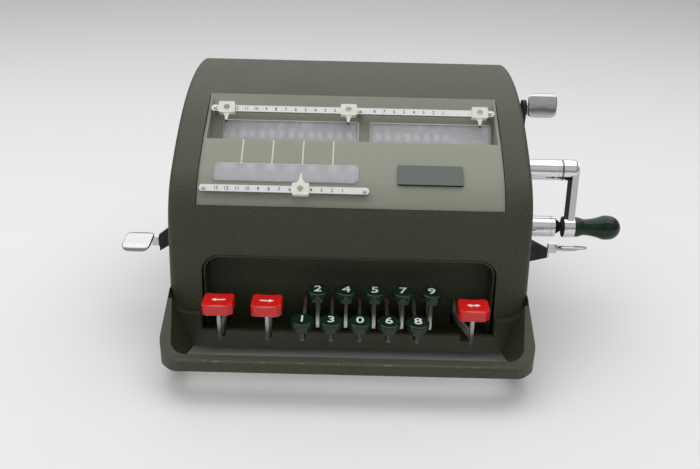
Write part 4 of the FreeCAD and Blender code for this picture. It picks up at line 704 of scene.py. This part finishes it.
def function_cap(finish, looks):
    """Red cap with a painted highlight, a lighter crescent along its front top edge: depth - bend * x^2
    behind the front.
    """
    near, middle, far = ((finish.x - x).size() for x, _ in RED_KEYS.values())
    across = near.least(middle).least(far)
    ahead = (CRESCENT_DEPTH - across * across * CRESCENT_BEND) - (finish.y - front_of("tabulator_key"))
    top = finish.facing("Z").rises(0.5, 0.7)
    foot = cap_foot("tabulator_key", RED_HEIGHT)
    return key_and_cap(finish, looks.function_cap, foot, RED_Y, cap_roughness=0.24, highlight_height=40,
                       crescent_highlight=top * ahead.rises(-0.1, 0.2))


@functools.cache
def material(finish):
    """Material of a finish, made when it is first asked for."""
    return finish(Finish(finish.__name__), bpy.context.scene.calculator_looks)


def dress(nodes, finish):
    """Give carried-over sub-parts their finish."""
    for node in nodes:
        mesh = frame["nodes"][node].data
        mesh.materials.clear()
        mesh.materials.append(material(finish))


# Sizes and colours a user would change --------------------

def colour_property(label, note, default):
    """Colour that a user can change."""
    return bpy.props.FloatVectorProperty(name=label, description=note, subtype="COLOR", size=4, min=0, max=1,
                                         default=default)


def length_property(label, note, default):
    """Length that a user can change; its default is in millimetres."""
    return bpy.props.FloatProperty(name=label, description=note, default=default * MM, min=0, unit="LENGTH",
                                   precision=5)


class CalculatorLooks(bpy.types.PropertyGroup):
    """Colours of the finishes."""
    casing: colour_property("Casing", "Crinkle enamel of the casing and base", tint(46, 51, 24))
    panel: colour_property("Window panel", "Satin enamel of the window panel", tint(145, 149, 133))
    window: colour_property("Windows", "Hazed plates over the numerals", tint(216, 216, 222))
    pointer: colour_property("Pointers", "Cream mouldings on the rails", tint(250, 247, 234))
    digit_cap: colour_property("Digit keys", "Round key caps", tint(17, 46, 29))
    function_cap: colour_property("Function keys", "Square key caps", tint(230, 30, 28))
    handle: colour_property("Crank handle", "Turning handle of the crank", tint(10, 44, 26))


class CalculatorSizes(bpy.types.PropertyGroup):
    """Sizes of the lettering and lines."""
    cap_numeral: length_property("Key numeral", "Height of the numerals on the keys", 7.4)
    rail_numeral: length_property("Rail numeral", "Height of the numerals on the rails", 2.3)
    wheel_numeral: length_property("Wheel numeral", "Height of the numerals on the wheels", 4.4)
    arrow: length_property("Key arrow", "Length of the arrows on the function keys", 8.8)
    panel_line: length_property("Panel line", "Width of the lines painted on the panel", 1.0)


# Pieces --------------------

class CALCULATOR_OT_casing(bpy.types.Operator):
    """Enamel on the casing, base, keyboard panel and window panel"""
    bl_idname = "calculator.casing"
    bl_label = "Casing"

    def execute(self, context):
        softened(("cover", "base_casting"), crinkle_paint)
        softened(("window_panel",), panel_paint)
        dress(("keyboard_panel", "bottom_plate"), crinkle_paint)
        softened(("rubber_feet",), rubber)
        softened(("badge_plate",), badge_enamel)
        heads = Shape()
        for index, (side, y) in enumerate(COVER_SCREWS):
            slot_turn = 0.6 + 1.1 * index
            across, up, out = screw_head(COVER_SCREW_RADIUS, COVER_SCREW_RISE, slot_turn)
            head = machine_point(side * (BODY_HALF + out), y + side * across, COVER_SCREW_Z + up)
            heads.grid(head, wrap_v=True)
        heads.build("cover_screw_heads", steel, "frame", smooth=30)
        return {"FINISHED"}


class CALCULATOR_OT_windows(bpy.types.Operator):
    """Hazed window plates, numeral wheels and the painted lines between them"""
    bl_idname = "calculator.windows"
    bl_label = "Windows"

    def execute(self, context):
        sizes = context.scene.calculator_sizes
        for node, finish in (("result_window", result_plate), ("counter_window", counter_plate),
                             ("setting_window", setting_plate)):
            dress((node,), finish)
        softened(("result_wheels", "counter_wheels"), wheel_plastic)
        outlines = [words(str(digit), sizes.wheel_numeral / MM, bold=0.015) for digit in range(DIGITS_ROUND)]
        for name, first, places, body in (
                ("result_numerals", RESULT_FIRST, RESULT_PLACES, "result_register"),
                ("counter_numerals", COUNTER_FIRST, COUNTER_PLACES, "counter_register")):
            shape = Shape()
            for place in range(places):
                for digit, (points, faces) in enumerate(outlines):
                    # wound round the wheel: height becomes an angle at the rim
                    turned_by = RECESS_SLOPE + SHOWN_AT - 360 / DIGITS_ROUND * digit
                    angle = np.radians(turned_by) - points[:, 1] / WHEEL_RADIUS
                    reach = WHEEL_RADIUS + points[:, 2] - INK_SUNK
                    shape.add(machine_point(first - DIGIT_PITCH * place + points[:, 0],
                                            NUMERAL_AXIS[0] - reach * np.sin(angle),
                                            NUMERAL_AXIS[1] + reach * np.cos(angle)), faces)
            shape.build(name, white_ink, body)
        # strips of one width that follow the two bends of the panel, just off it
        lines = Shape()
        half = sizes.panel_line / MM / 2
        edges = np.array([-half, half])
        headings = np.concatenate([np.linspace(LINE_FOOT, BROW_END, 4),
                                   np.linspace(BROW_END, LINE_TOP, 12)[1:]])
        y, z = np.where(headings >= BROW_END, on_arc(BROW, headings), on_arc(SLOPE, headings))
        for x in LINE_PLACES:
            lines.grid(machine_point(x + edges[None, :], y[:, None], z[:, None] + LINE_RISE))
        lines.build("panel_lines", line_paint, "frame")
        return {"FINISHED"}


# screw heads: half the slot's width as a part of the radius, its depth as a part of the rise, and how far
# the last ring goes under
SLOT_HALF, SLOT_DEPTH, SKIRT = 0.17, 0.7, 0.1


def screw_head(radius, rise, turn):
    """Three grids, along, up and out, of a low dome with a slot at that turn, in millimetres.

    Its height is rise * sqrt(1 - r^2 / 2) with r = 1 at the rim, less the slot's depth near the line
    through the middle at that turn.
    """
    rings = np.array([0, 0.3, 0.5, 0.7, 0.85, 0.94, 1, 1])[:, None] * radius
    angles = turn + np.linspace(0, 2 * math.pi, 48, endpoint=False)[None, :]
    u, v = rings * np.cos(angles), rings * np.sin(angles)
    across = u * math.sin(turn) - v * math.cos(turn)
    top = rise * np.sqrt(1 - 0.5 * (rings / radius) ** 2) + 0 * u
    top = top - SLOT_DEPTH * rise * (np.abs(across) < radius * SLOT_HALF)
    top[-1] = -SKIRT
    return u, v, top


def numbered(places, first, pitch):
    """Numbers of a rail and their places along X, from the right: first - pitch * (number - 1)."""
    return [(str(place + 1), first - pitch * place) for place in range(places)]


class CALCULATOR_OT_rails(bpy.types.Operator):
    """Rails with their numbers and screws, and the pointers on them"""
    bl_idname = "calculator.rails"
    bl_label = "Rails and pointers"

    def execute(self, context):
        sizes = context.scene.calculator_sizes
        softened(("upper_rail", "lower_rail"), rail_metal)
        softened(("rail_posts",), chrome)
        softened(("left_pointer", "middle_pointer", "right_pointer"), upper_cream, angle=40)
        softened(("setting_pointer",), lower_cream, angle=40)
        upper = on_slope(LEDGE, RECESS_SLOPE, UPPER_RAIL_UP, UPPER_RAIL_LIFT + RAIL_THICKNESS)
        centre_y, centre_z, radius = BROW
        lower = on_arc((centre_y, centre_z, radius + LOWER_RAIL_LIFT + RAIL_THICKNESS), LOWER_RAIL_SLOPE)
        left = numbered(RESULT_PLACES, *LEFT_NUMBERS)
        right = numbered(COUNTER_PLACES, *RIGHT_NUMBERS)
        for name, middle, slope, numbers in (
                ("upper_rail_numbers", upper, RECESS_SLOPE, left + right),
                ("lower_rail_numbers", lower, LOWER_RAIL_SLOPE, left)):
            shape = Shape()
            for text, x in numbers:
                points, faces = words(text, sizes.rail_numeral / MM, bold=0.004, wide=0.92, thickness=0.05)
                shape.add(laid(points, x, middle, slope), faces)
            shape.build(name, black_ink, "frame")
        screws = Shape()
        places = ([(x, upper, RECESS_SLOPE) for x in UPPER_SCREWS]
                  + [(x, lower, LOWER_RAIL_SLOPE) for x in LOWER_SCREWS])
        for index, (x, middle, slope) in enumerate(places):
            slot_turn = 0.5 + 1.3 * index
            head = np.stack(screw_head(RAIL_SCREW_RADIUS, RAIL_SCREW_RISE, slot_turn), -1)
            screws.grid(laid(head, x, middle, slope), wrap_v=True)
        screws.build("rail_screw_heads", rail_metal, "frame", smooth=30, stands_for=("rail_screws",))
        return {"FINISHED"}


# arrows on the red caps: length of a head, half width of the stem, how deep they reach in, how far they
# stand out, and how far behind the middle of the cap they lie
ARROW_HEAD, ARROW_HALF_STEM = 2.9, 0.62
ARROW_SUNK, ARROW_RISE, ARROW_BACK = 0.3, 0.12, 0.6
# numerals on the round caps: their thickness and how much of it is under the top
NUMERAL_THICKNESS, NUMERAL_SUNK = 0.4, 0.32


def arrow(way, length):
    """Outline of a flat arrow that points left, right or both ways, symmetric about its middle line.

    A head is as long as ARROW_HEAD and its half width is 0.6 of that; the other end is cut square.
    """
    reach = length / 2
    neck = reach - ARROW_HEAD
    head = [(neck, ARROW_HALF_STEM), (neck, ARROW_HEAD * 0.6), (reach, 0)]
    butt = [(reach, ARROW_HALF_STEM)]
    right = butt if way == "left" else head
    left = [(-x, y) for x, y in reversed(butt if way == "right" else head)]
    top = left + right
    low = [(x, -y) for x, y in reversed(top) if y]
    return np.array(top + low)


class CALCULATOR_OT_keys(bpy.types.Operator):
    """Key caps with their numerals and arrows"""
    bl_idname = "calculator.keys"
    bl_label = "Keys"

    def execute(self, context):
        sizes = context.scene.calculator_sizes
        for row, y, finish in (
                (FRONT_ROW, FRONT_ROW_Y, front_digit_cap),
                (BACK_ROW, BACK_ROW_Y, back_digit_cap)):
            for digit, x in row.items():
                node = f"digit_key_{digit}"
                top = top_of(node)
                softened((node,), finish, angle=32)
                points, faces = words(digit, sizes.cap_numeral / MM, bold=0.004, wide=1.08,
                                      thickness=NUMERAL_THICKNESS)
                points += (x, y, top - NUMERAL_SUNK)
                numeral = Shape().add(machine_point(*points.T), faces)
                numeral.build(f"numeral_{digit}", white_ink, node + "_body")
                self.ferrule(f"ferrule_{digit}", (x, y, top - CAP_DOME - CAP_HEIGHT), CAP_FERRULE, node)
        for node, (x, way) in RED_KEYS.items():
            softened((node,), function_cap, angle=32)
            self.arrow_on(node, x, way, sizes.arrow / MM)
            self.ferrule(f"ferrule_{way}", (x, RED_Y, RED_TOP - RED_HEIGHT), RED_FERRULE, node)
        return {"FINISHED"}

    def arrow_on(self, node, x, way, length):
        """Arrow let into a red cap, whose top is a trough: the lowest part of a circle of radius RED_DISH."""
        outline = arrow(way, length)
        count = len(outline)
        points = np.vstack([np.column_stack([outline, np.full(count, level)])
                            for level in (-ARROW_SUNK, ARROW_RISE)])
        sides = [(k, (k + 1) % count, (k + 1) % count + count, k + count) for k in range(count)]
        faces = [tuple(range(count, 2 * count))[::-1], tuple(range(count))] + sides
        floor = RED_TOP - RED_DIP + RED_DISH - np.sqrt(RED_DISH ** 2 - points[:, 0] ** 2)
        placed = machine_point(x + points[:, 0], RED_Y + ARROW_BACK + points[:, 1], floor + points[:, 2])
        Shape().add(placed, faces).build(f"arrow_{way}", white_ink, node + "_body")

    def ferrule(self, name, foot_of_cap, radius, node):
        """Small plated cup under a cap, round its lever: a rim, then a cone that narrows by FERRULE_TAPER."""
        top, rim, end = FERRULE_LEVELS
        profile = [(top, FERRULE_BORE), (top, radius), (rim, radius), (end, radius - FERRULE_TAPER),
                   (end, FERRULE_BORE)]
        cup = Shape().grid(turned(profile, 32, foot_of_cap, axis="Z"), wrap_u=True, wrap_v=True)
        cup.build(name, chrome, node + "_body", smooth=30)


# finger tabs: power of their outline, bow and half thickness in millimetres, and the parts of the way from
# the middle to the edge where the roll and the cushion edge begin
TAB_POWER, TAB_BOW, TAB_HALF_THICKNESS = 5, 1.1, 0.8
ROLL_START, CUSHION_START = 0.7, 0.9


def finger_tab(side, middle, start, end, half, lip, lean, up):
    """Cushion-edged sheet bowed across and rolled down at one edge.

    Rings r from 0 to 1 have the outline |a|^5 + |s|^5 = r^5, with a along and s across the tab. The middle
    of the sheet stands bow * (1 - s^2) high, less bow * lip * q^2, where q goes from 0 at the start of the
    roll to 1 at the edge. The half thickness closes as a quarter circle over the outer tenth of r.
    """
    upper = np.array([0, 0.3, 0.5, 0.7, 0.8, 0.86, 0.9, 0.93, 0.96, 0.985, 1.0])
    rings = np.concatenate([upper, upper[-2::-1]])[:, None]
    faces_up = np.where(np.arange(len(rings)) < len(upper), 1.0, -1.0)[:, None]
    angles = np.linspace(0, 2 * math.pi, 96, endpoint=False)[None, :]
    cos, sin = np.cos(angles), np.sin(angles)
    reach = rings / (np.abs(cos) ** TAB_POWER + np.abs(sin) ** TAB_POWER) ** (1 / TAB_POWER)
    along, across = reach * cos, reach * sin
    edge = np.clip(rings - CUSHION_START, 0, 1) / (1 - CUSHION_START)
    thick = TAB_HALF_THICKNESS * np.sqrt(np.clip(1 - edge ** 2, 0, 1)) * faces_up
    roll = np.clip(across - ROLL_START, 0, 1) / (1 - ROLL_START)
    height = up * (TAB_BOW * (1 - across ** 2) - TAB_BOW * lip * roll ** 2 + thick)
    x = side * (BODY_HALF + (start + end) / 2 + along * (end - start) / 2)
    level = lip / 2 + across * (half + lip / 2)
    return machine_point(x, *on_slope(middle, lean, level, height))


# side, middle (y, z), ends past the casing, half width, lip, lean and upper side of each finger tab
TABS = {
    "setting_clearing_lever": (-1, (-26.0, 61.5), 20.5, 39.8, 10.0, 1.4, 188, -1),
    "result_clearing_lever": (1, (30.7, 148.0), 8.0, 28.2, 7.5, 2.4, 75, 1),
    "counter_clearing_lever": (1, (-43.6, 71.5), 22.0, 40.8, 8.0, 1.4, -25, 1),
}
# from the start of a tab: how far the bridge under it reaches out, how far the tab itself reaches in, and
# how far a point may be off to count as on the start
BRIDGE_END, TAB_INWARD, SLACK = 1.05, 0.6, 0.01


class CALCULATOR_OT_crank(bpy.types.Operator):
    """Crank, its rest and handle, and the clearing levers"""
    bl_idname = "calculator.crank"
    bl_label = "Crank and levers"

    def execute(self, context):
        softened(("crank_bush", "crank_rest", "crank_handle_pin"), chrome)
        softened(("crank_arm",), crank_chrome)
        for node, (side, middle, start, end, half, lip, lean, up) in TABS.items():
            points, faces = merged(node)
            out = np.abs((points[:, 0] - ORIGIN[0]) / MM)[faces] - BODY_HALF - start
            # the flat sheet goes, the end of the bridge under it stays
            past_bridge, in_edge = (out > BRIDGE_END).any(1), (out < SLACK).all(1)
            sheet = (out > -SLACK).all(1) & (past_bridge | in_edge)
            shape = Shape().add(points, faces[~sheet])
            shape.grid(finger_tab(side, middle, start - TAB_INWARD, end, half, lip, lean, up), wrap_v=True)
            skin(shape, node, lever_chrome, angle=40)
        softened(("crank_handle",), handle_plastic, angle=50)
        profile = [(0, RING_BORE), (0, RING_RADIUS), (RING_WIDTH, RING_RADIUS), (RING_WIDTH, RING_BORE)]
        ring = Shape().grid(turned(profile, 48, (BUSH_END, *CRANK)), wrap_v=True)
        ring.build("hub_ring", brass, "crank", smooth=30)
        return {"FINISHED"}


class CALCULATOR_OT_mechanism(bpy.types.Operator):
    """Plain finishes of the mechanism and the fasteners"""
    bl_idname = "calculator.mechanism"
    bl_label = "Mechanism"

    def execute(self, context):
        softened(("foot_screws", "cover_screws", "key_pivot_axle", "key_springs", "crank_shaft", "tie_rods",
                  "rotor_shaft", "numeral_axle"), steel)
        dress(("left_side_plate", "right_side_plate", "drive_gear", "rotor_gear", "rail_screws"), steel)
        softened(("setting_drum",), brass)
        return {"FINISHED"}


# Stage --------------------

# place of the camera in millimetres on the machine, its tilt down and roll, its lens and sensor in
# millimetres and how far it sees in metres
CAMERA = (0.0, -530.4, 305.2)
PITCH, ROLL = math.radians(25), math.radians(1.35)
LENS, SENSOR, SIGHT = 41.14, 36.0, 50
# strength of the world, and its greys from the horizon, 0, to the zenith, 1
WORLD = 0.54
SKY = ((0.0, 0.42), (0.10, 0.36), (0.35, 0.66), (1.0, 0.95))
# name, place, width and watts of each lamp, all aimed at the same point of the machine
LAMPS = (
    ("ceiling", (0.0, 0.6, 1.45), 2.8, 31),
    ("side", (-1.6, -0.5, 1.0), 1.6, 4),
    ("front", (0.5, -1.8, 1.2), 1.8, 1.5),
)
LAMP_AIM = (0, 0, 0.05)
# paper: how far it reaches, where its quarter turn starts and how wide that is, and the top of its wall
PAPER_REACH, TURN_START, TURN_RADIUS, WALL_TOP = 14.0, 2.4, 2.0, 6.0
# places along Y, in millimetres, between which the paper turns grey as painted shade and then the white of
# the wall
GREY_FROM, GREY_TO = -300, 1400
WHITE_FROM, WHITE_TO = 2000, 3500


class CALCULATOR_OT_stage(bpy.types.Operator):
    """Pale paper sweep, soft lamps and the camera"""
    bl_idname = "calculator.stage"
    bl_label = "Stage"

    def execute(self, context):
        scene = context.scene
        scene.view_settings.view_transform = "Standard"
        right, up = np.array([1, 0, 0.0]), np.array([0, math.sin(PITCH), math.cos(PITCH)])
        back = np.array([0, -math.cos(PITCH), math.sin(PITCH)])
        across = math.cos(ROLL) * right + math.sin(ROLL) * up
        upright = -math.sin(ROLL) * right + math.cos(ROLL) * up
        camera = bpy.data.cameras.new("camera")
        camera.lens, camera.sensor_width, camera.clip_end = LENS, SENSOR, SIGHT
        viewer = linked("camera", camera)
        matrix = np.eye(4)
        matrix[:3] = np.column_stack([across, upright, back, machine_point(*CAMERA)])
        viewer.matrix_world = Matrix(matrix.tolist())
        scene.camera = viewer
        self.paper()
        self.room(scene)
        for name, place, size, power in LAMPS:
            lamp = bpy.data.lights.new(name, "AREA")
            lamp.shape, lamp.size, lamp.energy = "SQUARE", size, power
            holder = linked(name, lamp)
            holder.location = place
            holder.rotation_euler = (Vector(place) - Vector(LAMP_AIM)).to_track_quat("Z", "Y").to_euler()
        return {"FINISHED"}

    def paper(self):
        """Sheet that lies flat under and behind the machine, takes a quarter turn up and ends as a wall.

        It is greyer far behind the machine, a painted shade, and whiter on the wall.
        """
        bend = np.radians(np.linspace(0, 90, 33))
        y = np.concatenate([[-PAPER_REACH, TURN_START], TURN_START + TURN_RADIUS * np.sin(bend),
                            [TURN_START + TURN_RADIUS]])
        z = np.concatenate([[0.0, 0.0], TURN_RADIUS - TURN_RADIUS * np.cos(bend), [WALL_TOP]])
        x = np.array([-PAPER_REACH, PAPER_REACH])
        grid = np.stack(np.broadcast_arrays(x[None, :], y[:, None], z[:, None]), -1)
        paper = Finish("paper")
        fibres = paper.noise(60, 3)
        near = paper.mix(fibres, grey(0.84), grey(0.86))
        # painted shade: the floor greys far behind the machine
        floor = paper.mix(paper.y.rises(GREY_FROM, GREY_TO), near, grey(0.49))
        colour = paper.mix(paper.y.rises(WHITE_FROM, WHITE_TO), floor, grey(0.95))
        paper.surface(base_color=colour, roughness=0.9)
        mesh = Shape().grid(grid).mesh("paper", paper.material)
        mesh.flip_normals()
        mesh.shade_smooth()
        linked("paper", mesh)

    def room(self, scene):
        """World that is bright overhead and dark round the horizon, as a studio is to polished metal."""
        scene.world = bpy.data.worlds.new("studio")
        sky = Nodes(scene.world)
        up = sky.node("SeparateXYZ", inputs={0: sky.node("TexCoord", output="Generated")}, output="Z")
        stops = [(place, grey(level)) for place, level in SKY]
        colour = sky.node("ValToRGB", {"stops": stops}, {"Fac": up})
        light = sky.node("Background", inputs={"Color": colour, "Strength": WORLD})
        sky.node("OutputWorld", inputs={"Surface": light})


PIECES = (CALCULATOR_OT_stage, CALCULATOR_OT_casing, CALCULATOR_OT_windows, CALCULATOR_OT_rails,
          CALCULATOR_OT_keys, CALCULATOR_OT_crank, CALCULATOR_OT_mechanism)


class CALCULATOR_PT_pieces(bpy.types.Panel):
    """Lists the pieces of the calculator with their colours and sizes"""
    bl_idname = "CALCULATOR_PT_pieces"
    bl_label = "Calculator"
    bl_space_type = "VIEW_3D"
    bl_region_type = "UI"
    bl_category = "Calculator"

    def draw(self, context):
        for piece in PIECES:
            self.layout.operator(piece.bl_idname)
        for group in (context.scene.calculator_looks, context.scene.calculator_sizes):
            for name in group.__annotations__:
                self.layout.prop(group, name)


CLASSES = (CalculatorLooks, CalculatorSizes, *PIECES, CALCULATOR_PT_pieces)


def register():
    for cls in CLASSES:
        bpy.utils.register_class(cls)
    bpy.types.Scene.calculator_looks = bpy.props.PointerProperty(type=CalculatorLooks)
    bpy.types.Scene.calculator_sizes = bpy.props.PointerProperty(type=CalculatorSizes)


def unregister():
    del bpy.types.Scene.calculator_sizes
    del bpy.types.Scene.calculator_looks
    for cls in reversed(CLASSES):
        bpy.utils.unregister_class(cls)


def plain(bounds):
    """Two corners of a box as lists of numbers."""
    return [list(map(float, corner)) for corner in bounds]


def main():
    """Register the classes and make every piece."""
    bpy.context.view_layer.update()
    register()
    for piece in PIECES:
        group, name = piece.bl_idname.split(".")
        getattr(getattr(bpy.ops, group), name)()


if __name__ == "__main__":
    main()
